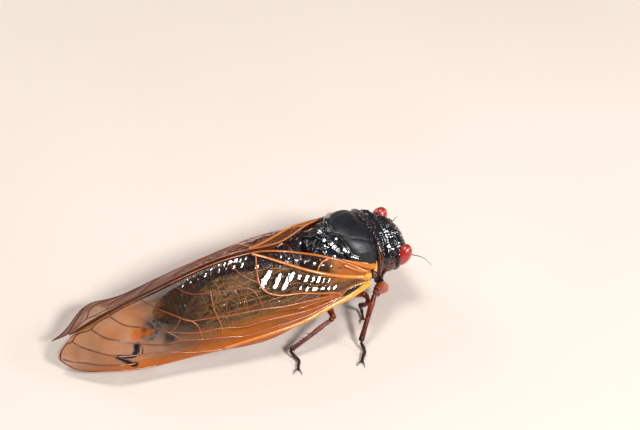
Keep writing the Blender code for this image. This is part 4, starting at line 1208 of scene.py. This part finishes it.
def panes(along, across, places, shares, half, start, widths, fill, seed):
    """Flat panes across a cell, side by side along the wing, that all face nearly the same way.

    Each pane is the plane through its own middle on the roof whose normal is PANE_WAY, turned a
    little by a seeded draw. Its height over the roof at a point is the way from there to the plane
    along the roof's normal. Returns the heights and how far each place is inside a pane.
    """
    draw = np.random.default_rng(seed)
    widths = widths * draw.uniform(0.8, 1.2, len(widths))
    edges = start + np.concatenate([[0.0], np.cumsum(widths)])
    from_middle = across - np.interp(along, places, shares)
    place = along - PANE_SLANT * from_middle * arc_across(along)
    wobble = bumps(flat_places(along, across), 0.6, seed)
    number = np.clip(np.searchsorted(edges, place) - 1, 0, len(widths) - 1)
    centre = (edges[:-1] + edges[1:]) / 2.0
    fills = fill * draw.uniform(0.7, 1.15, len(widths))
    reach = half * draw.uniform(0.7, 1.1, len(widths))
    part = np.abs(place - centre[number]) + 0.05 * wobble
    within = np.clip((0.5 * fills * widths)[number] - part, 0.0, PANE_ENDS) / PANE_ENDS
    beside = np.abs(from_middle) - 0.008 * wobble
    within = within * np.clip(reach[number] - beside, 0.0, PANE_SIDES) / PANE_SIDES
    aim = np.array(PANE_WAY) + draw.normal(scale=0.02, size=(len(widths), 3))
    aim /= np.linalg.norm(aim, axis=1, keepdims=True)
    anchor = vault(centre, np.interp(centre, places, shares))[number]
    span = (anchor - vault(along, across)) * aim[number]
    rise = (vault_normal(along, across) * aim[number]).sum(axis=-1)
    return np.clip(span.sum(axis=-1) / rise, -PANE_DEPTH, PANE_DEPTH), within


def forewing_panes(along, across):
    """The panes of the forewing: one row and then two in the long cell, small ones by the ridge."""
    height, within = np.zeros(along.shape), np.zeros(along.shape)
    for row in PANE_ROWS:
        rise, inside = panes(along, across, *row)
        height = np.where(inside > 0.0, rise * inside, height)
        within = np.maximum(within, inside)
    return height, within


def forewing_stains_and_shade(flat, along, across):
    """How black the film is: the zigzag and blotch near the tip, and painted shade along the ridge, where
    the abdomen lies under it.

    Each is a steep bell curve of the distance from its line or middle, and the darkest one holds.
    """
    zigzag = np.array([flat_places(*np.array(place)) for place in ZIGZAG])
    smoke = np.exp(-(near_line(flat, zigzag) / np.interp(along, (26.0, 26.5), (0.40, 0.19))) ** 4)
    uneven = 0.8 + 0.25 * bumps(flat, 0.5, 44)
    hole = patch(flat, *SMALL_SPOT, 49)
    smoke = np.maximum(smoke, 0.62 * patch(flat, *LARGE_BLOTCH, 50) * uneven * (1.0 - hole))
    smoke = np.maximum(smoke, 0.70 * patch(flat, *SMALL_BLOTCH, 50) * uneven)
    # Painted shade along the ridge, over the abdomen.
    band = bell(across - 0.04, 0.09) * unit((along - 10.5) / 1.5) * unit((28.0 - along) / 5.0)
    return unit(np.maximum(smoke, 0.45 * band))


def forewing_tints(along, across, flat, from_vein, pane):
    """The film's four shares: orange costal zone and root, warm tip, painted shade over the body, by the
    abdomen's tip and between the costal veins, and stains with painted shade along the ridge.

    Each zone is a product of straight ramps along and across the wing, times a seeded uneven field.
    """
    fade = unit((along - 1.5) / 1.5) * unit((32.0 - along) / 8.0)
    start = np.interp(along, (3.0, 10.0, 16.0, 22.0), (0.78, 0.62, 0.66, 0.84))
    costal = fade * unit((across - start) / 0.12)
    bright = np.interp(along, (3.0, 8.0, 12.0, 17.0, 22.0), (0.95, 0.90, 0.82, 0.76, 0.86))
    bright = unit((across - bright) / 0.08 + 0.5)
    base = unit((4.2 - along) / 1.4) * unit((0.62 - across) / 0.15)
    base = base * (0.85 + 0.2 * bumps(flat * (0.6, 1.6), 0.6, 47))
    warm = 0.42 * unit((along - 20.0) / 5.0) * (0.92 + 0.08 * bumps(flat, 2.5, 45))
    streaks = 0.85 + 0.15 * bumps(flat * (0.12, 1.0), 0.7, 46)
    spots = 0.9 * patch(flat, *LARGE_SPOT, 48) + 0.6 * patch(flat, *SMALL_SPOT, 49)
    amber = 0.03 + warm + 0.80 * costal * streaks + 0.85 * base + spots
    amber = amber + 0.3 * bell(from_vein, 0.16) * unit((16.0 - along) / 10.0)
    # Painted shade: over the body the film is darkened, and made more opaque, where the dark body and its
    # shadow lie under it.
    over_body = unit((25.0 - along) / 3.0) * unit((0.80 - across) / 0.15)
    # Painted shadow of the abdomen's tip: a dark brown film around it.
    painted_tip_shadow = unit((along - 15.0) / 5.0) * unit((25.5 - along) / 3.0) * unit((0.95 - across) / 0.1)
    amber = np.maximum(amber, 0.42 * painted_tip_shadow)
    shade = over_body * unit((along - 3.0) / 2.0) * (1.0 - costal)
    # Painted shade between the costal veins, for the body's shadow seen through the film; the strip by the
    # costa keeps its amber.
    painted_costal_shade = (0.35 + 0.3 * bumps(flat * (0.10, 1.0), 0.6, 43)) * costal * (1.0 - bright)
    # The panes are darkened too, as painted shade of the body behind them.
    shade = np.maximum(np.maximum(shade, 0.6 * painted_tip_shadow), np.maximum(painted_costal_shade, pane))
    return {
        "amber": np.clip(amber, 0.0, 0.88) * (1.0 - 0.8 * pane),
        "smoke": forewing_stains_and_shade(flat, along, across) * (1.0 - pane),
        "shade": unit(shade),
        "gloss": 0.02 + 0.08 * over_body + 0.85 * pane,
    }


def forewing_membrane(thickness, fold_depth):
    """The forewing's film: it sags between veins, stands in flat panes in the long cell, and crinkles.

    Its hind margin is folded down along the ridge, the fold darkened as painted shade, and the cell at its
    root is black.
    """
    along, across = forewing_grid(*FOREWING_MESH)
    flat = flat_places(along, across)
    from_vein = vein_distance(flat, FOREWING_VEINS)
    inside = unit(from_vein / 0.45)
    height, pane = forewing_panes(along, across)
    relief = -0.07 * unit(from_vein / 0.9)
    relief = relief + inside * 0.02 * bumps(flat, 1.3, 42) * np.clip((24.0 - along) / 6.0, 0.15, 1.0)
    relief = relief * (1.0 - pane) + height
    normal = vault_normal(along, across)
    surface = vault(along, across) + normal * (relief - MEMBRANE_DEPTH)[..., None]
    shape = Shape()
    tints = forewing_tints(along, across, flat, from_vein, pane)
    shape.plate(surface, surface - normal * thickness, **tints)
    rows = (along[:, 0] > FOLD_START) & (along[:, 0] < FOLD_END)
    drop = np.interp(along[rows, 0], (FOLD_START, FOLD_START + 1.0, FOLD_END - 2.0, FOLD_END),
                     (0.1, fold_depth, fold_depth, 0.2))
    drop = drop[:, None, None] * (0.0, 0.12, -1.0)
    flap = surface[rows, :1] + drop * np.linspace(0.0, 1.0, 8)[:, None]
    # The fold is amber film darkened as painted shade of the ridge over the body.
    shape.plate(flap, flap + (0.0, thickness, 0.0), amber=0.80, smoke=0.25, gloss=0.1, shade=0.7)
    upper = smooth_line(((-0.3, 0.88), (1.0, 0.84), (2.3, 0.86), (2.95, 0.95)), 30)
    lower = smooth_line(((-0.3, 1.00), (1.0, 1.09), (2.3, 1.06), (2.95, 0.97)), 30)
    cell = upper[:, None] + (lower - upper)[:, None] * np.linspace(0.0, 1.0, 8)[:, None]
    normal = vault_normal(cell[..., 0], cell[..., 1])
    surface = vault(cell[..., 0], cell[..., 1]) - normal * 0.12
    shape.plate(surface, surface - normal * 0.05, amber=0.0, smoke=1.0, gloss=0.5, shade=0.0)
    return shape


def hindwing_membrane(thickness):
    """The hindwing's film under the forewing: the roof lowered, in pleats that are a sine across it."""
    along, across = hindwing_grid(*HINDWING_MESH)
    flat = flat_places(along, across)
    relief = 0.10 * np.sin(flat[..., 1] * 4.2 + 0.5 * np.sin(flat[..., 0] * 0.6))
    relief = relief + 0.05 * bumps(flat, 0.9, 51) + 0.03 * bumps(flat, 0.45, 52)
    normal = vault_normal(along, across)
    surface = vault(along, across) + normal * (relief - HINDWING_DEPTH)[..., None]
    shape = Shape()
    # Painted shade: the hindwing's film is darkened where it lies over the body. Its golden streaks are
    # partly its own colour and partly a painted sheen of its crinkles.
    gold_and_sheen = unit(0.35 + 0.5 * bumps(flat * (0.5, 1.5), 0.8, 53))
    shape.plate(surface, surface - normal * thickness,
                amber=0.05, smoke=0.0, shade=0.5 - 0.4 * gold_and_sheen, gloss=0.10 + 0.40 * gold_and_sheen)
    return shape


def hinge_shape():
    """The wing root on the right side: a yellow knob, painted darker orange on its lower side as shade, a
    dark joint, and the orange wedge by the dome.

    The first two are ellipsoids, and the wedge, fold and spike are flat ovals carried along splines.
    """
    beside = (0.0, -0.75, 0.66)
    shape = Shape()
    knob = ball_rings((0.30, -5.0, 6.98), (0.50, 0.36, 0.44), 40, 50)
    # Painted shade: the knob's tone goes from yellow at its top to orange on its lower side.
    tone = np.clip(0.12 - 0.2 * (knob[..., 2] - 7.0), 0.0, 0.4)
    shape.grid(knob + 0.035 * bumps(knob, 0.4, 61)[..., None], tone=tone)
    shape.grid(ball_rings((1.15, -4.85, 6.8), (0.36, 0.34, 0.50), 24, 30), tone=1.0)
    line = ((1.75, -4.05, 7.35), (0.7, -4.12, 7.75), (-0.8, -3.85, 8.35), (-2.3, -3.3, 8.9))
    place = np.linspace(0.0, 1.0, 60)
    width = np.interp(place, (0.0, 0.12, 0.5, 1.0), (0.22, 0.42, 0.26, 0.04))
    wedge = tube_rings(smooth_line(line, 60), width, 16, beside, 0.30)
    shape.grid(wedge, tone=(0.22 + 0.28 * place)[:, None])
    fold = smooth_line(((0.9, -4.55, 7.15), (0.0, -4.6, 7.45), (-1.0, -4.3, 7.85), (-2.2, -3.7, 8.4)), 50)
    shape.grid(tube_rings(fold, rounded_ends(np.full(50, 0.16)), 12, beside, 0.5), tone=0.42)
    spike = smooth_line(((1.75, -4.0, 8.0), (1.7, -4.2, 7.4), (1.45, -4.55, 7.0)), 30)
    shape.grid(tube_rings(spike, np.linspace(0.04, 0.22, 30), 12, (1.0, 0.0, 0.0)), tone=0.02)
    return shape


def build_wings(colours, sizes):
    """Four wings: clear films, their veins, and the yellow hinges at their roots."""
    veins = vein_paint(colours)
    film = membrane_paint("forewing_film", colours, crinkle=0.02)
    under_film = membrane_paint("hindwing_film", colours, crinkle=0.05, net=0.5)
    thickness, fold_depth = millimetres(sizes.film), millimetres(sizes.fold)
    for wing, blade, paint, table, depth in (
            ("forewing_", forewing_membrane(thickness, fold_depth), film, FOREWING_VEINS, VEIN_DEPTH),
            ("hindwing_", hindwing_membrane(thickness), under_film, HINDWING_VEINS, HINDWING_DEPTH)):
        blade.build_pair(wing + "membrane_", paint, "wing_membrane", wing)
        wing_veins(table, depth).build_pair(wing + "veins_", veins, "wing_vein", wing)
    hinge_shape().build_pair("wing_hinge_", veins, "wing_vein")


# The legs

def limb(shape, path, profile, tones, sides=18, count=70, ridges=0.0):
    """A limb segment: a tube along a spline, its radius and tone on profiles from end to end."""
    line = smooth_line(path, count)
    place = np.linspace(0.0, 1.0, count)
    radii = np.interp(place, np.linspace(0.0, 1.0, len(profile)), profile)
    kernel = np.hanning(2 * LIMB_SMOOTHING + 1)
    radii = np.pad(radii, LIMB_SMOOTHING, mode="edge")
    radii = np.convolve(radii, kernel / kernel.sum(), mode="valid")
    rings = tube_rings(line, rounded_ends(radii, 0.05), sides, (0.3, 0.2, 0.9))
    if ridges:
        turn = full_turn(sides)
        middle = rings.mean(axis=1, keepdims=True)
        rings = middle + (rings - middle) * (1.0 + ridges * np.cos(4.0 * turn))[:, None]
    tone = np.interp(place, np.linspace(0.0, 1.0, len(tones)), tones)
    shape.grid(rings, tone=tone[:, None])
    return line


def leg_points(pair, side):
    """A leg's seven points, on the side asked for, the left ones shifted as it stands."""
    points = np.array(LEG_JOINTS[pair])
    if side > 0:
        points = points * (1.0, -1.0, 1.0)
        points[:, 0] += LEFT_SHIFT[pair] * np.arange(len(points)) / (len(points) - 1)
        points[:, 1] -= LEFT_TUCK[pair] * TUCK_SHARES
    return points


def beside_limb(line, where, draw):
    """At places on a limb's line: the way along it, and a drawn way straight out from it."""
    ahead = line[where + 1] - line[where - 1]
    ahead /= np.linalg.norm(ahead, axis=1, keepdims=True)
    out = np.cross(ahead, draw.normal(size=(len(where), 3)))
    out /= np.linalg.norm(out, axis=1, keepdims=True)
    return ahead, out


def limb_hairs(shape, line, radius, count, length, seed):
    """Short hairs that lean along a limb towards its end."""
    draw = np.random.default_rng(seed)
    where = draw.integers(2, len(line) - 3, count)
    ahead, out = beside_limb(line, where, draw)
    roots = line[where] + out * radius * 0.85
    reach = length * draw.uniform(0.6, 1.3, count)[:, None]
    shape.cones(roots, roots + (0.55 * out + 0.8 * ahead) * reach, HAIR_RADIUS, 3, tone=0.8)


def thigh_shape(pair, coxa, trochanter, knee, coxa_radius, radius, hair, seed):
    """A thigh with its coxa, and under a front one three teeth: ovals along splines, with balls between.

    The teeth point away from the thigh's line, straight down as seen along it.
    """
    shape = Shape()
    limb(shape, (coxa, (coxa + trochanter) / 2.0, trochanter),
         (coxa_radius, coxa_radius * 0.75, coxa_radius * 0.6), (0.9, 0.8, 0.5))
    shape.grid(ball_rings(coxa + COXA_REACH, COXA_BALL), tone=0.9)
    shape.grid(ball_rings(trochanter, 0.36, 16, 24), tone=0.4)
    middle = trochanter + (knee - trochanter) * 0.5 + (0.0, 0.0, 0.12)
    line = limb(shape, (trochanter, middle, knee), (0.36, radius, radius, 0.8 * radius, 0.34),
                (0.25, 0.08, 0.10, 0.16, 0.4), 24)
    limb_hairs(shape, line, radius * 0.9, 60, 1.1 * hair, seed)
    if pair == "front":
        along = (knee - trochanter) / np.linalg.norm(knee - trochanter)
        below = np.array((0.0, 0.0, -1.0)) - along * -along[2]
        below /= np.linalg.norm(below)
        for share, reach in FRONT_TEETH:
            root = trochanter + (knee - trochanter) * share
            bend = root + below * (0.45 + reach * 0.6) + along * 0.12
            tip = root + below * (0.5 + reach) + along * 0.4
            tooth = smooth_line((root + below * 0.3, bend, tip), 16)
            shape.grid(tube_rings(tooth, np.linspace(0.2, 0.02, 16), 10),
                       tone=np.linspace(0.3, 0.95, 16)[:, None])
    return shape


def shin_shape(pair, side, knee, shin_top, ankle, radius, hair, seed):
    """A shin with a ball at the knee, hairs and spurs: an oval along a bowed spline.

    Its four ridges are a cosine of four times the angle round it.
    """
    shape = Shape()
    bow = (shin_top + ankle) / 2.0 + (0.0, side * SHIN_BOW[pair], 0.05)
    start = knee + (shin_top - knee) * 0.45
    profile = radius * np.array((0.8, 1.05, 0.85, 0.85, 1.1))
    line = limb(shape, (start, shin_top + (ankle - shin_top) * 0.1, bow, ankle), profile,
                (0.42, 0.36, 0.42, 0.55, 0.9), 20, 90, 0.06)
    shape.grid(ball_rings(knee + (shin_top - knee) * 0.3, radius * 1.08, 16, 24), tone=0.5)
    limb_hairs(shape, line, radius, 120, hair, seed)
    where = np.linspace(38, 86, SHIN_SPURS[pair]).astype(int)
    ahead, out = beside_limb(line, where, np.random.default_rng(seed + 1))
    roots = line[where] + out * radius * 0.7
    shape.cones(roots, roots + 0.42 * out + 0.38 * ahead, SPUR_RADIUS, 6, tone=0.75)
    return shape


def foot_shape(ankle, heel, claw, radius):
    """A foot of three joints with two curved claws that touch the floor, along splines.

    A joint's radius grows with the square of the way along it.
    """
    shape = Shape()
    line = smooth_line((ankle, ankle + (heel - ankle) * 0.6, heel, (heel + claw) / 2.0, claw), 80)
    line[:, 2] = np.maximum(line[:, 2], radius * 0.92)
    place = np.linspace(0.0, 1.0, 80)
    joint = (place * FOOT_JOINTS) % 1.0
    radii = radius * (0.78 + 0.30 * joint ** 2) * np.interp(place, (0.0, 0.9, 1.0), (1.0, 0.92, 0.8))
    shape.grid(tube_rings(line, rounded_ends(radii, 0.03), 16), tone=unit(0.95 - 0.2 * joint)[:, None])
    ahead = (claw - heel) * (1.0, 1.0, 0.0)
    ahead /= np.linalg.norm(ahead)
    across = np.array((-ahead[1], ahead[0], 0.0))
    for way in (-1.0, 1.0):
        hook = smooth_line([claw + across * way * out + ahead * on + (0.0, 0.0, up)
                            for out, on, up in CLAW_HOOK], 20)
        hook[:, 2] = np.maximum(hook[:, 2], CLAW_REST)
        shape.grid(tube_rings(hook, np.linspace(0.09, 0.02, 20), 10), tone=0.9)
    return shape


def build_legs(colours, sizes):
    """Six legs, each a thigh with its coxa, a ridged shin with spurs, and a jointed foot with claws."""
    paint, hair = leg_paint(colours), millimetres(sizes.hair)
    for number, (pair, radii) in enumerate(LEG_RADII.items()):
        coxa_radius, thigh_radius, shin_radius, foot_radius = radii
        for side, word in SIDES:
            coxa, trochanter, knee, shin_top, ankle, heel, claw = leg_points(pair, side)
            seed = 100 * number + int(side)
            thigh = thigh_shape(pair, coxa, trochanter, knee, coxa_radius, thigh_radius, hair, seed + 1)
            thigh.build(f"{pair}_thigh_piece_{word}", paint, "leg_maroon", [f"{pair}_thigh_{word}"])
            shin = shin_shape(pair, side, knee, shin_top, ankle, shin_radius, hair, seed + 2)
            shin.build(f"{pair}_shin_piece_{word}", paint, "leg_maroon", [f"{pair}_shin_{word}"])
            foot = foot_shape(ankle, heel, claw, foot_radius)
            foot.build(f"{pair}_foot_piece_{word}", paint, "leg_dark", [f"{pair}_foot_{word}"])


# The stage

def build_floor():
    """A plain floor, far wider than the animal."""
    mesh = bpy.data.meshes.new("floor")
    corners = [(x * FLOOR_REACH, y * FLOOR_REACH, 0.0) for x, y in ((-1, -1), (1, -1), (1, 1), (-1, 1))]
    mesh.from_pydata(corners, [], [(0, 1, 2, 3)])
    mesh.materials.append(floor_paint())
    floor = bpy.data.objects.new("floor", mesh)
    bpy.context.scene.collection.objects.link(floor)


def build_lamps():
    """Soft lamps round the animal, and a dim, warm world."""
    middle = Vector(to_frame(LAMP_TARGET))
    for name, way, distance, size, power in LAMPS:
        light = bpy.data.lights.new(name, "AREA")
        light.energy, light.size = power, size
        lamp = bpy.data.objects.new(name, light)
        lamp.location = middle + Vector(way).normalized() * distance
        lamp.rotation_euler = Vector(way).to_track_quat("Z", "Y").to_euler()
        bpy.context.scene.collection.objects.link(lamp)
    world = bpy.data.worlds.new("studio")
    world.use_nodes = True
    background = world.node_tree.nodes["Background"]
    background.inputs[0].default_value, background.inputs[1].default_value = WORLD_COLOUR, WORLD_STRENGTH
    bpy.context.scene.world = world
    bpy.context.scene.view_settings.view_transform = "Standard"


def build_camera():
    """The camera at the photograph's view of the animal."""
    azimuth, elevation, roll = (math.radians(angle) for angle in (VIEW_AZIMUTH, VIEW_ELEVATION, VIEW_ROLL))
    back = Vector((math.sin(azimuth) * math.cos(elevation), -math.cos(azimuth) * math.cos(elevation),
                   math.sin(elevation)))
    right = Vector((math.cos(azimuth), math.sin(azimuth), 0.0))
    up = back.cross(right)
    side = right * math.cos(roll) + up * math.sin(roll)
    top = up * math.cos(roll) - right * math.sin(roll)
    lens = bpy.data.cameras.new("camera")
    lens.lens, lens.sensor_width = VIEW_LENS, SENSOR_WIDTH
    lens.clip_start, lens.clip_end = VIEW_CLIP
    camera = bpy.data.objects.new("camera", lens)
    place = Vector(to_frame(VIEW_TARGET)) + back * VIEW_DISTANCE * MM
    camera.matrix_world = Matrix.Translation(place) @ Matrix((side, top, back)).transposed().to_4x4()
    bpy.context.scene.collection.objects.link(camera)
    bpy.context.scene.camera = camera


# The add-on

def colour(name, description, default):
    """A colour that a user would change."""
    return FloatVectorProperty(name=name, description=description, default=default,
                               subtype="COLOR", size=3, min=0.0, max=1.0)


def size(name, description, default):
    """A size that a user would change: its default is given in millimetres and held in metres."""
    return FloatProperty(name=name, description=description, default=default * MM,
                         unit="LENGTH", min=0.0, precision=6)


class CicadaSizes(bpy.types.PropertyGroup):
    film: size("Film", "Thickness of the wings' clear films", FILM_THICKNESS)
    fold: size("Fold", "How far the fold under the ridge of the wings hangs down", FOLD_DEPTH)
    hair: size("Hair", "Usual length of the hairs on the shins, a tenth longer on the thighs", HAIR_LENGTH)


class CicadaColours(bpy.types.PropertyGroup):
    shell: colour("Shell", "Black of the cuticle", (0.004, 0.004, 0.005))
    bloom: colour("Bloom", "Blue-grey sheen over the black", (0.010, 0.013, 0.019))
    maroon: colour("Maroon", "Brown-red of the plates' edges and the shins", (0.105, 0.014, 0.006))
    # On the abdomen this colour also paints a sheen on the highest crinkle crests.
    tan: colour("Tan", "Pale edges of the collar, dome and abdomen", (0.60, 0.20, 0.035))
    leg: colour("Leg", "Orange-brown of the thighs", (0.44, 0.070, 0.010))
    eye: colour("Eye", "Red of the compound eyes", (0.72, 0.025, 0.015))
    vein_base: colour("Vein by the body", "Yellow", (0.80, 0.38, 0.05))
    vein_middle: colour("Vein half way", "Orange", (0.58, 0.16, 0.02))
    vein_outer: colour("Vein past half way", "Red-brown", (0.33, 0.07, 0.014))
    vein_tip: colour("Vein at the tip", "Dark brown", (0.055, 0.013, 0.007))
    film: colour("Film", "Clear membrane", (0.62, 0.25, 0.05))
    # Also the colour of the painted glints along the hindwing's crinkled folds.
    net: colour("Folds", "Pale folds in the hindwing", (0.52, 0.28, 0.09))
    film_edge: colour("Film edge on", "Membrane seen at a glancing angle", (0.19, 0.046, 0.018))
    # Painted shade: the film's colour where the dark body and its shadow lie under it.
    film_shade: colour("Dark film", "Membrane over the abdomen", (0.05, 0.022, 0.010))
    amber: colour("Amber film", "Membrane along the costal edge and by the hinge", (0.40, 0.085, 0.010))


class CICADA_OT_stage(bpy.types.Operator):
    """Make the floor, the lights and the camera"""
    bl_idname = "cicada.make_stage"
    bl_label = "Stage"

    def execute(self, context):
        build_floor()
        build_lamps()
        build_camera()
        return {"FINISHED"}


class CICADA_OT_head(bpy.types.Operator):
    """Make the head capsule with its face and single eyes"""
    bl_idname = "cicada.make_head"
    bl_label = "Head"

    def execute(self, context):
        build_head(context.scene.cicada_colours)
        return {"FINISHED"}


class CICADA_OT_eyes(bpy.types.Operator):
    """Make the two compound eyes"""
    bl_idname = "cicada.make_eyes"
    bl_label = "Eyes"

    def execute(self, context):
        build_eyes(context.scene.cicada_colours)
        return {"FINISHED"}


class CICADA_OT_feelers(bpy.types.Operator):
    """Make the two feelers"""
    bl_idname = "cicada.make_feelers"
    bl_label = "Feelers"

    def execute(self, context):
        build_feelers(context.scene.cicada_colours)
        return {"FINISHED"}


class CICADA_OT_beak(bpy.types.Operator):
    """Make the beak"""
    bl_idname = "cicada.make_beak"
    bl_label = "Beak"

    def execute(self, context):
        build_beak(context.scene.cicada_colours)
        return {"FINISHED"}


class CICADA_OT_collar(bpy.types.Operator):
    """Make the collar behind the head"""
    bl_idname = "cicada.make_collar"
    bl_label = "Collar"

    def execute(self, context):
        build_collar(context.scene.cicada_colours)
        return {"FINISHED"}


class CICADA_OT_shield(bpy.types.Operator):
    """Make the dome between the wings and the cross behind it"""
    bl_idname = "cicada.make_shield"
    bl_label = "Back shield"

    def execute(self, context):
        build_shield(context.scene.cicada_colours)
        return {"FINISHED"}


class CICADA_OT_breast(bpy.types.Operator):
    """Make the underside of the thorax and the drum covers"""
    bl_idname = "cicada.make_breast"
    bl_label = "Breast"

    def execute(self, context):
        build_breast(context.scene.cicada_colours)
        return {"FINISHED"}


class CICADA_OT_abdomen(bpy.types.Operator):
    """Make the rings of the abdomen"""
    bl_idname = "cicada.make_abdomen"
    bl_label = "Abdomen"

    def execute(self, context):
        build_abdomen(context.scene.cicada_colours)
        return {"FINISHED"}


class CICADA_OT_wings(bpy.types.Operator):
    """Make the four clear wings, their veins and hinges"""
    bl_idname = "cicada.make_wings"
    bl_label = "Wings"

    def execute(self, context):
        build_wings(context.scene.cicada_colours, context.scene.cicada_sizes)
        return {"FINISHED"}


class CICADA_OT_legs(bpy.types.Operator):
    """Make the six legs with their spurs, hairs and claws"""
    bl_idname = "cicada.make_legs"
    bl_label = "Legs"

    def execute(self, context):
        build_legs(context.scene.cicada_colours, context.scene.cicada_sizes)
        return {"FINISHED"}


class CICADA_PT_panel(bpy.types.Panel):
    """Lists the steps that make the model, its sizes and its colours"""
    bl_label = "Cicada"
    bl_space_type = "VIEW_3D"
    bl_region_type = "UI"
    bl_category = "Cicada"

    def draw(self, context):
        for step in OPERATORS:
            self.layout.operator(step.bl_idname)
        for group in (context.scene.cicada_sizes, context.scene.cicada_colours):
            for name in type(group).__annotations__:
                self.layout.prop(group, name)


OPERATORS = (
    CICADA_OT_stage, CICADA_OT_head, CICADA_OT_eyes, CICADA_OT_feelers, CICADA_OT_beak, CICADA_OT_collar,
    CICADA_OT_shield, CICADA_OT_breast, CICADA_OT_abdomen, CICADA_OT_wings, CICADA_OT_legs,
)
CLASSES = (CicadaSizes, CicadaColours, *OPERATORS, CICADA_PT_panel)


def register():
    for item in CLASSES:
        bpy.utils.register_class(item)
    bpy.types.Scene.cicada_sizes = PointerProperty(type=CicadaSizes)
    bpy.types.Scene.cicada_colours = PointerProperty(type=CicadaColours)


def unregister():
    del bpy.types.Scene.cicada_sizes
    del bpy.types.Scene.cicada_colours
    for item in reversed(CLASSES):
        bpy.utils.unregister_class(item)


def main():
    """Make every piece around the frame."""
    register()
    bpy.ops.cicada.make_stage()
    bpy.ops.cicada.make_head()
    bpy.ops.cicada.make_eyes()
    bpy.ops.cicada.make_feelers()
    bpy.ops.cicada.make_beak()
    bpy.ops.cicada.make_collar()
    bpy.ops.cicada.make_shield()
    bpy.ops.cicada.make_breast()
    bpy.ops.cicada.make_abdomen()
    bpy.ops.cicada.make_wings()
    bpy.ops.cicada.make_legs()


if __name__ == "__main__":
    main()
